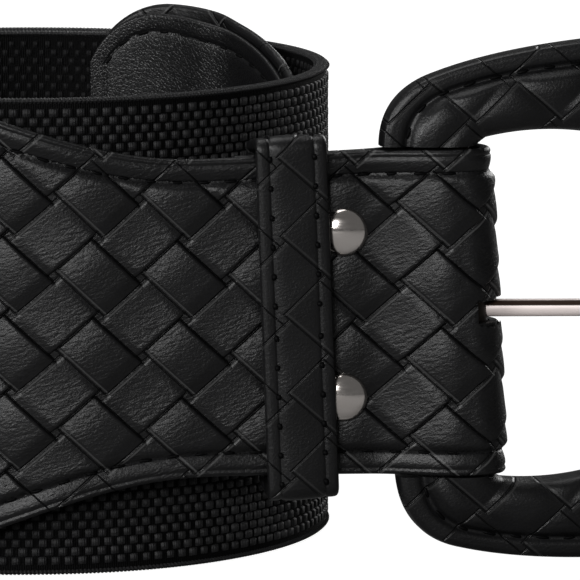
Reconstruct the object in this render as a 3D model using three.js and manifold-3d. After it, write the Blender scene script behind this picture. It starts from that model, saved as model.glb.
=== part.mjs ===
// Wide elastic stretch belt with leather ends and a leather-wrapped prong buckle.
// It stands on its edge in two turns. Millimetres, +Z up, +X to the right seen from the front,
// +Y away from the viewer. The coil is built round its own centre and centred at the end.
import * as THREE from "three";
import { mergeVertices } from "three/addons/utils/BufferGeometryUtils.js";
import Module from "manifold-3d";

const wasm = await Module();
wasm.setup();

// Gap between touching pieces
const clearance = 0.3;

// Elastic webbing
const elasticWidth = 75;
const elasticThickness = 2.2;
const seamOverlap = 22;
const elasticLift = 1;

// Leather
const leatherThickness = 1.6;
const liningThickness = 1;
const liningInset = 1.2;
const tabWideWidth = 80;
const tabCornerRadius = 14.5;
const flareLength = 66;

// Narrow strap at the buckle, a little wider at the fold
const strapWidth = 50;
const foldWidth = 51.5;
const strapLength = 42;
const foldBackLength = 36;
const foldEaseStart = 2;
const foldEaseEnd = 13;

// Free end: a narrow tongue with punched holes
const tongueLength = 95;
const tongueTipLength = 20;
const holeCount = 4;
const holePitch = 20;
const holeFromTip = 26;
const holeDiameter = 4.2;

// Coil: radius of the elastic's middle at the front of the outer turn, and the spiral's pitch
const coilRadius = 51.7;
const coilPitch = 4.8;
const strapAngle = THREE.MathUtils.degToRad(9.9);
const strapRun = 62.6;
const tipTabTurn = THREE.MathUtils.degToRad(551.5);

// Buckle
const barDiameter = 3.4;
const barHeight = 41;
const buckleTilt = THREE.MathUtils.degToRad(3);
const frameHeight = 82.6;
const frameWidth = 73;
const frameBackReach = 12.5;
const frameFrontReach = 2.6;
const frameThickness = 8.6;
const frameFarWidth = 14.5;
const frameEndGap = 0.5;
const barSocketDepth = 5;

// Prong, a bent wire with an eye round the bar
const prongDiameter = 2.8;
const eyeWall = 1.2;
const eyeHeight = 5;
const prongOverhang = 10;
const slotHeight = 4.6;
const slotFrontAngle = THREE.MathUtils.degToRad(78);
const slotBackAngle = THREE.MathUtils.degToRad(125);

// Keeper loop and rivets
const keeperWidth = 11.2;
const keeperHeight = 58;
const keeperPlace = 27.2;
const keeperThickness = 1.8;
const keeperRise = 2.4;
const rivetDiameter = 7.6;
const rivetDome = 1.9;
const rivetPostDiameter = 2.8;
const rivetWasherThickness = 0.8;
const rivetSpacing = 26;
const rivetPlace = 19.9;

// Heights of the middle lines above the surface that the belt stands on
const elasticMiddle = elasticWidth / 2;
const tabMiddle = tabWideWidth / 2;

// Steps of the swept strips
const bendStep = 4.5;
const endStep = 1.6;

// Sizes that follow from the ones above
const strapTilt = Math.tan(buckleTilt);
const foldInnerRadius = barDiameter / 2 + clearance + eyeWall + clearance;
const foldRadius = foldInnerRadius + leatherThickness / 2;
const frontLayer = leatherThickness / 2 + clearance / 2;
const backLayer = -frontLayer;
const coveredOuter = elasticThickness / 2 + clearance + leatherThickness / 2;
const coveredLining = -(elasticThickness / 2 + clearance + liningThickness / 2);
const bareLining = -(clearance / 2 + liningThickness / 2);
const buckleTabLength = strapLength + flareLength + tabCornerRadius;
const tipTabLength = tabCornerRadius + flareLength + tongueLength;
const spiralRate = coilPitch / (2 * Math.PI);

const arcToTurn = (turn) =>
  strapRun +
  coilRadius * (turn + strapAngle) -
  (spiralRate * (turn * turn - strapAngle * strapAngle)) / 2;

const tipTabStart = arcToTurn(tipTabTurn);
const elasticStart = buckleTabLength - seamOverlap;
const elasticEnd = tipTabStart + seamOverlap;

// A smooth step from 0 to 1
function ease(share) {
  const t = THREE.MathUtils.clamp(share, 0, 1);
  return (1 - Math.cos(Math.PI * t)) / 2;
}

// Turn round the coil at a length along the belt, counted from the front towards the left
function turnAt(length) {
  const half = spiralRate / 2;
  const rest = length - strapRun - coilRadius * strapAngle - half * strapAngle * strapAngle;
  return (coilRadius - Math.sqrt(coilRadius * coilRadius - 4 * half * rest)) / (2 * half);
}

// Point of the belt: length along it from the bar, height, and distance outwards from its middle
function beltPoint(length, height, outwards) {
  const turn = length > strapRun ? turnAt(length) : -strapAngle;
  const radius = coilRadius - spiralRate * turn + outwards;
  const straight = Math.max(strapRun - length, 0);
  return new THREE.Vector3(
    -radius * Math.sin(turn) + straight * Math.cos(strapAngle),
    -radius * Math.cos(turn) + straight * Math.sin(strapAngle),
    height,
  );
}

// The strap's cross lines lean with the buckle and come upright along the strap
function leaningPoint(length, rise, outwards, middle) {
  const lean = strapTilt * (1 - ease(length / (strapLength + flareLength / 2)));
  return beltPoint(length + lean * rise, middle + rise, outwards);
}

// Closed mesh from rings of equal size, each ring a list of points
function solidFromRings(rings, closedLoop = false) {
  const size = rings[0].length;
  const position = [];
  const index = [];
  for (const ring of rings) {
    for (const point of ring) position.push(point.x, point.y, point.z);
  }
  const bands = closedLoop ? rings.length : rings.length - 1;
  for (let i = 0; i < bands; i += 1) {
    const next = (i + 1) % rings.length;
    for (let j = 0; j < size; j += 1) {
      const a = i * size + j;
      const b = i * size + ((j + 1) % size);
      const c = next * size + ((j + 1) % size);
      const d = next * size + j;
      index.push(a, b, c, a, c, d);
    }
  }
  if (!closedLoop) {
    const last = (rings.length - 1) * size;
    for (let j = 0; j < size / 2 - 1; j += 1) {
      const k = size - 1 - j;
      index.push(j, k, k - 1, j, k - 1, j + 1);
      index.push(last + j, last + k - 1, last + k, last + j, last + j + 1, last + k - 1);
    }
  }
  const geometry = new THREE.BufferGeometry();
  geometry.setAttribute("position", new THREE.Float32BufferAttribute(position, 3));
  geometry.setIndex(index);
  return facingOut(geometry);
}

// Reverses the triangles of a mesh that encloses a negative volume
function facingOut(geometry) {
  const place = geometry.getAttribute("position");
  const index = geometry.getIndex();
  const [a, b, c] = [new THREE.Vector3(), new THREE.Vector3(), new THREE.Vector3()];
  let volume = 0;
  for (let i = 0; i < index.count; i += 3) {
    a.fromBufferAttribute(place, index.getX(i));
    b.fromBufferAttribute(place, index.getX(i + 1));
    c.fromBufferAttribute(place, index.getX(i + 2));
    volume += a.dot(b.cross(c));
  }
  if (volume < 0) {
    for (let i = 0; i < index.count; i += 3) {
      const first = index.getX(i);
      index.setX(i, index.getX(i + 1));
      index.setX(i + 1, first);
    }
  }
  return geometry;
}

function toManifold(geometry) {
  const plain = geometry.clone();
  plain.deleteAttribute("normal");
  plain.deleteAttribute("uv");
  const merged = mergeVertices(plain, 1e-4);
  return new wasm.Manifold(
    new wasm.Mesh({
      numProp: 3,
      vertProperties: new Float32Array(merged.getAttribute("position").array),
      triVerts: new Uint32Array(merged.getIndex().array),
    }),
  );
}

function toGeometry(solid) {
  const mesh = solid.getMesh();
  const geometry = new THREE.BufferGeometry();
  geometry.setAttribute("position", new THREE.Float32BufferAttribute(mesh.vertProperties, 3));
  geometry.setIndex([...mesh.triVerts]);
  return geometry;
}

function cutAway(geometry, cutters) {
  let solid = toManifold(geometry);
  for (const cutter of cutters) solid = solid.subtract(toManifold(cutter));
  return toGeometry(solid);
}

// Lengths from start to end in even steps, with finer steps inside each named zone
function lengthsAlong(start, end, fineZones = []) {
  const marks = [start, end, ...fineZones.flat()].filter((x) => x >= start && x <= end);
  const sorted = [...new Set(marks)].sort((x, y) => x - y);
  const lengths = [start];
  for (let i = 1; i < sorted.length; i += 1) {
    const [from, to] = [sorted[i - 1], sorted[i]];
    const middle = (from + to) / 2;
    const fine = fineZones.some(([low, high]) => middle > low && middle < high);
    const count = Math.max(1, Math.ceil((to - from) / (fine ? endStep : bendStep)));
    for (let k = 1; k <= count; k += 1) lengths.push(from + ((to - from) * k) / count);
  }
  return lengths;
}

// Strip of even thickness; each station gives its length, layer, slope, half width and middle
function stripSolid(stations, thickness, point) {
  const half = thickness / 2;
  const rings = stations.map((station) => {
    const across = [
      [-station.half, half],
      [station.half, half],
      [station.half, -half],
      [-station.half, -half],
    ];
    return across.map(([rise, depth]) =>
      point(
        station.length + station.slope[0] * depth,
        rise,
        station.layer + station.slope[1] * depth,
        station.middle,
      ),
    );
  });
  return solidFromRings(rings);
}

// Half width of a leather end, at a distance from its wide end towards the narrow strap
function tabHalfWidth(fromWideEnd, inset) {
  const radius = tabCornerRadius;
  const narrow = strapWidth / 2;
  const wide = tabWideWidth / 2;
  const distance = fromWideEnd + inset;
  if (distance < radius) {
    const bow = Math.sqrt(Math.max(radius * radius - (radius - distance) ** 2, 0));
    return wide - radius + bow - inset;
  }
  const flare = ease(1 - (distance - radius) / flareLength);
  return narrow + (wide - narrow) * flare - inset;
}

// Strap's half width towards the fold at the bar
function strapFlareToFold(length) {
  return ((foldWidth - strapWidth) / 2) * (1 - ease(length / strapLength));
}

// Height of the buckle end's middle line, which the buckle lifts a little
function buckleTabMiddle(length) {
  return barHeight + (tabMiddle - barHeight) * ease(length / buckleTabLength);
}

// Height of the elastic's middle line, lifted a little where it is sewn in
function elasticMiddleAt(length) {
  const fromEnd = Math.min(length - elasticStart, elasticEnd - length);
  return elasticMiddle + elasticLift * (1 - ease(fromEnd / seamOverlap));
}

// The layer that a leather follows over the elastic and beyond the elastic's end
function layerBeside(fromElasticEnd, covered, bare) {
  return bare + (covered - bare) * ease(1 + fromElasticEnd / bendStep / 2);
}

function elasticBand() {
  const stations = lengthsAlong(elasticStart, elasticEnd).map((length) => ({
    length,
    layer: 0,
    slope: [0, 1],
    half: elasticWidth / 2,
    middle: elasticMiddleAt(length),
  }));
  return stripSolid(stations, elasticThickness, (length, rise, outwards, middle) =>
    beltPoint(length, middle + rise, outwards),
  );
}

// Middle of the folded leather: back layer, round the bar, front layer, then over the elastic
function buckleTabStations() {
  const station = (length, layer, slope) => ({
    length,
    layer,
    slope,
    half:
      tabHalfWidth(buckleTabLength - Math.max(length, 0), 0) +
      strapFlareToFold(Math.max(length, 0)),
    middle: buckleTabMiddle(Math.max(length, 0)),
  });
  const stations = [];
  const easeLayer = (length, flat) => {
    const share = (length - foldEaseStart) / (foldEaseEnd - foldEaseStart);
    return foldRadius + (flat - foldRadius) * ease(share);
  };
  const backLengths = lengthsAlong(foldEaseStart, foldBackLength, [[foldEaseStart, foldEaseEnd]]);
  for (const length of backLengths.reverse()) {
    stations.push(station(length, -easeLayer(length, frontLayer), [0, -1]));
  }
  const foldSteps = 14;
  for (let i = 0; i <= foldSteps; i += 1) {
    const angle = -Math.PI / 2 + (Math.PI * i) / foldSteps;
    const slope = [-Math.cos(angle), Math.sin(angle)];
    stations.push(station(foldRadius * slope[0], foldRadius * slope[1], slope));
  }
  const cornerStart = buckleTabLength - tabCornerRadius;
  const fineZones = [
    [foldEaseStart, foldEaseEnd],
    [cornerStart, buckleTabLength],
  ];
  for (const length of lengthsAlong(foldEaseStart, buckleTabLength, fineZones)) {
    const overElastic = layerBeside(length - elasticStart, coveredOuter, frontLayer);
    const layer = length < foldEaseEnd ? easeLayer(length, frontLayer) : overElastic;
    stations.push(station(length, layer, [0, 1]));
  }
  return stations;
}

function buckleTab() {
  const strip = stripSolid(buckleTabStations(), leatherThickness, leaningPoint);
  const cutters = [prongSlot()];
  for (const side of [-1, 1]) cutters.push(rivetHole(side));
  return cutAway(strip, cutters);
}

function buckleTabLining() {
  const start = foldBackLength + clearance;
  const end = buckleTabLength - liningInset;
  const zones = [[buckleTabLength - tabCornerRadius, end]];
  const stations = lengthsAlong(start, end, zones).map((length) => ({
    length,
    layer: layerBeside(length - elasticStart, coveredLining, bareLining),
    slope: [0, 1],
    half: tabHalfWidth(buckleTabLength - liningInset - length, liningInset),
    middle: buckleTabMiddle(length),
  }));
  return stripSolid(stations, liningThickness, leaningPoint);
}

// Half width of the free end, rounded at its tip
function tipTabHalfWidth(fromWideEnd, inset) {
  const toTip = tipTabLength - inset - fromWideEnd - inset;
  const share = THREE.MathUtils.clamp(1 - toTip / tongueTipLength, 0, 0.995);
  return tabHalfWidth(fromWideEnd, inset) * Math.sqrt(1 - share * share);
}

function tipTabLayer(inset, thickness, covered, bare) {
  const start = tipTabStart + inset;
  const end = tipTabStart + tipTabLength - inset;
  const zones = [
    [start, tipTabStart + tabCornerRadius],
    [end - tongueTipLength, end],
  ];
  const stations = lengthsAlong(start, end, zones).map((length) => ({
    length,
    layer: layerBeside(elasticEnd - length, covered, bare),
    slope: [0, 1],
    half: tipTabHalfWidth(length - start, inset),
    middle: tabMiddle,
  }));
  const strip = stripSolid(stations, thickness, (length, rise, outwards, middle) =>
    beltPoint(length, middle + rise, outwards),
  );
  return cutAway(strip, holePunches());
}

const tipTab = () => tipTabLayer(0, leatherThickness, coveredOuter, frontLayer);
const tipTabLining = () => tipTabLayer(liningInset, liningThickness, coveredLining, bareLining);

// Matrix whose Z points outwards from the belt at a length, with Y up
function outwardFrame(length, height) {
  const origin = beltPoint(length, height, 0);
  const outwards = beltPoint(length, height, 1).sub(origin);
  const up = new THREE.Vector3(0, 0, 1);
  const along = new THREE.Vector3().crossVectors(up, outwards);
  return new THREE.Matrix4().makeBasis(along, up, outwards).setPosition(origin);
}

function roundCutter(diameter, length, height) {
  const reach = 3 * (leatherThickness + elasticThickness);
  const cutter = new THREE.CylinderGeometry(diameter / 2, diameter / 2, reach, 20);
  cutter.rotateX(Math.PI / 2);
  return cutter.applyMatrix4(outwardFrame(length, height));
}

function holePunches() {
  const punches = [];
  for (let i = 0; i < holeCount; i += 1) {
    const length = tipTabStart + tipTabLength - holeFromTip - i * holePitch;
    punches.push(roundCutter(holeDiameter, length, tabMiddle));
  }
  return punches;
}

const rivetHeight = (side) => buckleTabMiddle(rivetPlace) + (side * rivetSpacing) / 2;

function rivetHole(side) {
  return roundCutter(rivetPostDiameter + 2 * clearance, rivetPlace, rivetHeight(side));
}

// Dome, post and washer, turned round the post
function rivet(side) {
  const capBase = frontLayer + leatherThickness / 2 + clearance;
  const washerTop = backLayer - leatherThickness / 2 - clearance;
  const capRadius = rivetDiameter / 2;
  const postRadius = rivetPostDiameter / 2;
  const washerRadius = postRadius + rivetDiameter / 4;
  const profile = [
    new THREE.Vector2(0, washerTop - rivetWasherThickness),
    new THREE.Vector2(washerRadius, washerTop - rivetWasherThickness),
    new THREE.Vector2(washerRadius, washerTop),
    new THREE.Vector2(postRadius, washerTop),
    new THREE.Vector2(postRadius, capBase),
  ];
  const domeSteps = 6;
  for (let i = 0; i <= domeSteps; i += 1) {
    const angle = (Math.PI / 2) * (i / domeSteps);
    const radius = i === domeSteps ? 0 : capRadius * Math.cos(angle);
    profile.push(new THREE.Vector2(radius, capBase + rivetDome * Math.sin(angle)));
  }
  const turned = new THREE.LatheGeometry(profile, 28);
  turned.rotateX(Math.PI / 2);
  turned.applyMatrix4(outwardFrame(rivetPlace, rivetHeight(side)));
  return toGeometry(toManifold(turned));
}

function roundedRectangle(path, left, right, bottom, top, radius) {
  path.moveTo(left + radius, bottom);
  path.lineTo(right - radius, bottom);
  path.absarc(right - radius, bottom + radius, radius, -Math.PI / 2, 0, false);
  path.lineTo(right, top - radius);
  path.absarc(right - radius, top - radius, radius, 0, Math.PI / 2, false);
  path.lineTo(left + radius, top);
  path.absarc(left + radius, top - radius, radius, Math.PI / 2, Math.PI, false);
  path.lineTo(left, bottom + radius);
  path.absarc(left + radius, bottom + radius, radius, Math.PI, 1.5 * Math.PI, false);
  return path;
}

// Closed loop of doubled leather round the strap, standing clear of the rivet domes
function keeperLoop() {
  const front = frontLayer + leatherThickness / 2 + keeperRise;
  const back = backLayer - leatherThickness / 2 - rivetWasherThickness - 2 * clearance;
  const halfHeight = keeperHeight / 2;
  const wall = keeperThickness;
  const outline = roundedRectangle(
    new THREE.Shape(), back - wall, front + wall, -halfHeight, halfHeight, 1.4 * wall);
  const inside = roundedRectangle(
    new THREE.Path(), back, front, wall - halfHeight, halfHeight - wall, wall / 2);
  outline.holes.push(inside);
  const loop = new THREE.ExtrudeGeometry(outline, {
    depth: keeperWidth,
    bevelEnabled: false,
    curveSegments: 5,
  });
  loop.translate(0, 0, -keeperWidth / 2);
  loop.rotateY(-Math.PI / 2);
  const lean = buckleTilt * (1 - ease(keeperPlace / (strapLength + flareLength / 2)));
  loop.rotateZ(lean);
  loop.applyMatrix4(outwardFrame(keeperPlace, buckleTabMiddle(keeperPlace)));
  return loop;
}

// Buckle frame's outline, as shares of its half height and of its width from the bar
const halfFrame = frameHeight / 2;
const frameFarReach = frameWidth - frameBackReach;
const innerFarReach = frameFarReach - frameFarWidth;
const endRise = foldWidth / 2 + frameEndGap;
const cornerOut = { start: [-0.24, 0.91], bend: [-0.96, 0.852] };
const topOut = { start: [0.5, 1], bend: [0.157, 1] };
const sideOut = { first: [0.83, 0.995], second: [1, 0.62] };
const cornerIn = { end: [0.09, 0.653] };
const topIn = { end: [0.43, 0.647], bend: [0.26, 0.684] };
const sideIn = { first: [0.78, 0.595], second: [1, 0.36] };

// The arm ends are cut level with the strap's edges, which the tilted buckle meets at an angle
const armEndHeight = (across, side) =>
  (side * endRise) / Math.cos(buckleTilt) - across * strapTilt;

function frameOutline(side) {
  const point = (share, reach) => new THREE.Vector2(share[0] * reach, side * share[1] * halfFrame);
  const outer = {
    end: new THREE.Vector2(-frameBackReach, armEndHeight(-frameBackReach, side)),
    bend: new THREE.Vector2(cornerOut.bend[0] * frameBackReach, side * cornerOut.bend[1] * halfFrame),
    corner: new THREE.Vector2(
      cornerOut.start[0] * frameBackReach, side * cornerOut.start[1] * halfFrame),
  };
  const inner = { end: new THREE.Vector2(frameFrontReach, armEndHeight(frameFrontReach, side)) };
  const far = new THREE.Vector2(frameFarReach, 0);
  const innerFar = new THREE.Vector2(innerFarReach, 0);
  return {
    outer: [
      new THREE.QuadraticBezierCurve(outer.end, outer.bend, outer.corner),
      new THREE.QuadraticBezierCurve(
        outer.corner, point(topOut.bend, frameFarReach), point(topOut.start, frameFarReach)),
      new THREE.CubicBezierCurve(
        point(topOut.start, frameFarReach),
        point(sideOut.first, frameFarReach),
        point(sideOut.second, frameFarReach),
        far,
      ),
    ],
    inner: [
      new THREE.LineCurve(inner.end, point(cornerIn.end, innerFarReach)),
      new THREE.QuadraticBezierCurve(
        point(cornerIn.end, innerFarReach),
        point(topIn.bend, innerFarReach),
        point(topIn.end, innerFarReach),
      ),
      new THREE.CubicBezierCurve(
        point(topIn.end, innerFarReach),
        point(sideIn.first, innerFarReach),
        point(sideIn.second, innerFarReach),
        innerFar,
      ),
    ],
  };
}

// Half thickness across the frame, from its inner edge to its outer flange, as shares
const frameSection = [
  { across: 0, thick: 0.34 },
  { across: 0.06, thick: 0.74 },
  { across: 0.2, thick: 0.97 },
  { across: 0.38, thick: 1 },
  { across: 0.56, thick: 0.92 },
  { across: 0.69, thick: 0.66 },
  { across: 0.75, thick: 0.56 },
  { across: 0.92, thick: 0.56 },
  { across: 1, thick: 0.38 },
];

function frameRing(outerPoint, innerPoint) {
  const at = (share, sign) => {
    const spot = innerPoint.clone().lerp(outerPoint, share.across);
    return new THREE.Vector3(spot.x, (sign * share.thick * frameThickness) / 2, spot.y);
  };
  const front = frameSection.map((share) => at(share, -1));
  const back = [...frameSection].reverse().map((share) => at(share, 1));
  return [...front, ...back];
}

function buckleFrame() {
  const stepsPerStretch = [8, 8, 14];
  const half = (side) => {
    const { outer, inner } = frameOutline(side);
    const rings = [];
    stepsPerStretch.forEach((steps, stretch) => {
      for (let i = stretch ? 1 : 0; i <= steps; i += 1) {
        const share = i / steps;
        rings.push(frameRing(outer[stretch].getPoint(share), inner[stretch].getPoint(share)));
      }
    });
    return rings;
  };
  const rings = [...half(1), ...half(-1).reverse().slice(1)];
  const socket = new THREE.CylinderGeometry(
    barDiameter / 2 + clearance,
    barDiameter / 2 + clearance,
    2 * (endRise + barSocketDepth + clearance),
    20,
  );
  socket.rotateX(Math.PI / 2);
  return cutAway(solidFromRings(rings), [socket]);
}

function buckleBar() {
  const radius = barDiameter / 2;
  const bar = new THREE.CylinderGeometry(radius, radius, 2 * (endRise + barSocketDepth), 20);
  bar.rotateX(Math.PI / 2);
  return bar;
}

// The prong stays level while the bar leans, and lies on the far arm's face
function prong() {
  const eyeInner = barDiameter / 2 + clearance;
  const eyeOuter = eyeInner + eyeWall;
  const wire = prongDiameter / 2;
  const tipReach = innerFarReach + prongOverhang;
  const forwards = frameThickness / 2 + clearance + wire;
  const eye = new THREE.LatheGeometry(
    [
      new THREE.Vector2(eyeInner, -eyeHeight / 2),
      new THREE.Vector2(eyeOuter, -eyeHeight / 2),
      new THREE.Vector2(eyeOuter, eyeHeight / 2),
      new THREE.Vector2(eyeInner, eyeHeight / 2),
      new THREE.Vector2(eyeInner, -eyeHeight / 2),
    ],
    28,
  );
  eye.rotateX(Math.PI / 2);
  const start = new THREE.Vector3(eyeInner + eyeWall / 2, 0, 0);
  const end = new THREE.Vector3(
    tipReach, (-forwards * tipReach) / innerFarReach, -tipReach * strapTilt);
  const aim = end.clone().sub(start);
  const rings = [];
  const tipSteps = 5;
  const section = 14;
  const stops = [0];
  for (let i = 0; i <= tipSteps; i += 1) {
    stops.push(aim.length() - wire + wire * Math.sin(((Math.PI / 2) * i * 0.96) / tipSteps));
  }
  const turn = new THREE.Quaternion().setFromUnitVectors(
    new THREE.Vector3(1, 0, 0), aim.clone().normalize());
  for (const stop of stops) {
    const past = Math.max(stop - (aim.length() - wire), 0);
    const radius = Math.sqrt(wire * wire - past * past);
    const ring = [];
    for (let j = 0; j < section; j += 1) {
      const angle = (2 * Math.PI * j) / section;
      const spot = new THREE.Vector3(stop, radius * Math.cos(angle), radius * Math.sin(angle));
      ring.push(spot.applyQuaternion(turn).add(start));
    }
    rings.push(ring);
  }
  return toGeometry(toManifold(eye).add(toManifold(solidFromRings(rings))));
}

// Wedge that opens the fold for the prong, from the front round to the back
function prongSlot() {
  const near = foldInnerRadius - clearance;
  const reach = foldInnerRadius + 2 * leatherThickness;
  const sector = new THREE.Shape();
  sector.absarc(0, 0, reach, -slotFrontAngle, slotBackAngle, false);
  sector.absarc(0, 0, near, slotBackAngle, -slotFrontAngle, true);
  sector.closePath();
  const wedge = new THREE.ExtrudeGeometry(sector, {
    depth: slotHeight,
    bevelEnabled: false,
    curveSegments: 24,
  });
  wedge.translate(0, 0, -slotHeight / 2);
  return wedge.applyMatrix4(buckleMatrix());
}

// Place of the buckle: X towards its far arm, Y away from the viewer, Z along the bar
function buckleMatrix() {
  const turn = new THREE.Euler(0, -buckleTilt, strapAngle, "ZYX");
  return new THREE.Matrix4().makeRotationFromEuler(turn).setPosition(beltPoint(0, barHeight, 0));
}

const leather = new THREE.MeshStandardMaterial({ color: 0x1d1d1f, roughness: 0.45 });
const lining = new THREE.MeshStandardMaterial({ color: 0x222224, roughness: 0.6 });
const webbing = new THREE.MeshStandardMaterial({ color: 0x141415, roughness: 0.9 });
const nickel = new THREE.MeshStandardMaterial({ color: 0xd8d2cc, roughness: 0.15, metalness: 1 });

function named(name, geometry, material) {
  const flat = geometry.index ? geometry.toNonIndexed() : geometry;
  flat.computeVertexNormals();
  const mesh = new THREE.Mesh(flat, material);
  mesh.name = name;
  return mesh;
}

const belt = new THREE.Group();
belt.add(named("elastic_band", elasticBand(), webbing));
belt.add(named("buckle_tab", buckleTab(), leather));
belt.add(named("buckle_tab_lining", buckleTabLining(), lining));
belt.add(named("tip_tab", tipTab(), leather));
belt.add(named("tip_tab_lining", tipTabLining(), lining));
belt.add(named("keeper_loop", keeperLoop(), leather));
belt.add(named("rivet_upper", rivet(1), nickel));
belt.add(named("rivet_lower", rivet(-1), nickel));

const buckle = new THREE.Group();
buckle.add(named("buckle_frame", buckleFrame(), leather));
buckle.add(named("buckle_bar", buckleBar(), nickel));
buckle.add(named("prong", prong(), nickel));
buckle.applyMatrix4(buckleMatrix());
belt.add(buckle);

// Origin at the middle of the footprint, on the surface that the belt stands on
const extent = new THREE.Box3().setFromObject(belt, true);
const centre = extent.getCenter(new THREE.Vector3());
belt.position.set(-centre.x, -centre.y, -extent.min.z);

export default belt;
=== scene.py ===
import math

import bpy
import numpy as np
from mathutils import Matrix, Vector


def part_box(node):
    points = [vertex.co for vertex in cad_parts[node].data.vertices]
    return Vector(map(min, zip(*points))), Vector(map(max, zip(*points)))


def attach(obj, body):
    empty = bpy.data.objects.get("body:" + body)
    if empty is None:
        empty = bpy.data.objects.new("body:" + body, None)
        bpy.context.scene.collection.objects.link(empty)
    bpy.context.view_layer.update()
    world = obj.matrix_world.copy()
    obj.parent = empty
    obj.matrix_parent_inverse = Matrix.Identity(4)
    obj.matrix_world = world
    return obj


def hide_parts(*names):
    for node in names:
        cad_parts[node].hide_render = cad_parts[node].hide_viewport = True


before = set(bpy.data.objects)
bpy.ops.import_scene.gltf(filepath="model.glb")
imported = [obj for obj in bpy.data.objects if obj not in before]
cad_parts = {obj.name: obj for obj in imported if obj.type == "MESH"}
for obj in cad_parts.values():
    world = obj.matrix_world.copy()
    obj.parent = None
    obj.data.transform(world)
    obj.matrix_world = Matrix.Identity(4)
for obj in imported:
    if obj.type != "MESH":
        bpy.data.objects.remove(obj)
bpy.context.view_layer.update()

# Lengths are in millimetres until place() turns them into metres of the part's frame.

# Belt, as the solids have it
CLEARANCE = 0.3
ELASTIC_WIDTH = 75
ELASTIC_THICKNESS = 2.2
SEAM_OVERLAP = 22
ELASTIC_LIFT = 1
LEATHER_THICKNESS = 1.6
LINING_THICKNESS = 1
LINING_INSET = 1.2
TAB_WIDE_WIDTH = 80
TAB_CORNER_RADIUS = 14.5
FLARE_LENGTH = 66
STRAP_WIDTH = 50
FOLD_WIDTH = 51.5
STRAP_LENGTH = 42
FOLD_BACK_LENGTH = 36
FOLD_EASE = (2, 17)
TONGUE_LENGTH = 95
TONGUE_TIP_LENGTH = 20
HOLE_COUNT = 4
HOLE_PITCH = 20
HOLE_FROM_TIP = 26
HOLE_DIAMETER = 4.2
COIL_RADIUS = 51.7
COIL_PITCH = 4.8
STRAP_ANGLE = math.radians(9.9)
STRAP_RUN = 62.6
TIP_TAB_TURN = math.radians(551.5)
BEND_STEP = 4.5

# Buckle, as the solids have it
BAR_DIAMETER = 3.4
BAR_HEIGHT = 41
BUCKLE_TILT = math.radians(3)
FRAME_HEIGHT = 82.6
FRAME_WIDTH = 73
FRAME_BACK_REACH = 12.5
FRAME_FRONT_REACH = 2.6
FRAME_THICKNESS = 8.6
FRAME_FAR_WIDTH = 14.5
FRAME_END_GAP = 0.5
PRONG_DIAMETER = 2.8
EYE_WALL = 1.2
EYE_HEIGHT = 5
PRONG_OVERHANG = 10
SLOT_FRONT_ANGLE = math.radians(78)
SLOT_BACK_LENGTH = 3
KEEPER_WIDTH = 11.2
KEEPER_HEIGHT = 58
KEEPER_PLACE = 27.2
KEEPER_THICKNESS = 1.8
KEEPER_RISE = 2.4
RIVET_DIAMETER = 7.6
RIVET_DOME = 1.9
RIVET_POST_DIAMETER = 2.8
RIVET_WASHER_THICKNESS = 0.8
RIVET_SPACING = 26
RIVET_PLACE = 19.9

# Where the dressed pieces differ from the solids
SLOT_HEIGHT = 3.4
END_GAP_SHARE = 0.65
KEEPER_SHIFT = 0.5
KEEPER_TAPER = 0.06

# Sizes that follow from the ones above
STRAP_TILT = math.tan(BUCKLE_TILT)
TAB_MIDDLE = TAB_WIDE_WIDTH / 2
FOLD_INNER_RADIUS = BAR_DIAMETER / 2 + 2 * CLEARANCE + EYE_WALL
FOLD_RADIUS = FOLD_INNER_RADIUS + LEATHER_THICKNESS / 2
FOLD_ARC = math.pi * FOLD_RADIUS
FRONT_LAYER = (LEATHER_THICKNESS + CLEARANCE) / 2
COVERED_OUTER = ELASTIC_THICKNESS / 2 + CLEARANCE + LEATHER_THICKNESS / 2
COVERED_LINING = -(ELASTIC_THICKNESS / 2 + CLEARANCE + LINING_THICKNESS / 2)
BARE_LINING = -(CLEARANCE + LINING_THICKNESS) / 2
BUCKLE_TAB_LENGTH = STRAP_LENGTH + FLARE_LENGTH + TAB_CORNER_RADIUS
TIP_TAB_LENGTH = TAB_CORNER_RADIUS + FLARE_LENGTH + TONGUE_LENGTH
SPIRAL_RATE = COIL_PITCH / (2 * math.pi)

# Basketweave emboss: a lattice point and the two strand directions, as length and height
WEAVE_ORIGIN = np.array([65.2, 48.7])
WEAVE_FIRST = np.array([-6.83, -6.47])
WEAVE_SECOND = np.array([-6.73, 5.84])
TO_CELL = np.linalg.inv(np.stack([WEAVE_FIRST, WEAVE_SECOND], -1))
FIRST_STRAND = (0.04, 0.88)
SECOND_STRAND = (0.15, 1.0)
WEAVE_RELIEF = 0.85
WEAVE_SINK = 0.4
FIRST_CREASE = 0.018
SECOND_CREASE = 0.028
RIM_SHARE = 0.026

# Where the same lattice lies on the keeper and on the frame
KEEPER_WEAVE_SHIFT = (-5.0, 5.0)
KEEPER_FOLD_RELIEF = 0.1
KEEPER_CROWN = 0.25
FRAME_WEAVE_PLACE = (73.4, 12.4)
FRAME_WEAVE_DRIFT = 0.031
FRAME_WEAVE_MIDDLE = 36.3
FRAME_PAD_RELIEF = 0.5
FRAME_PAD_SINK = 0.3

# Leather surface, in metres for the bump nodes
WRINKLE_DEPTH = 0.00015
GRAIN_DEPTH = 0.00006

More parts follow.
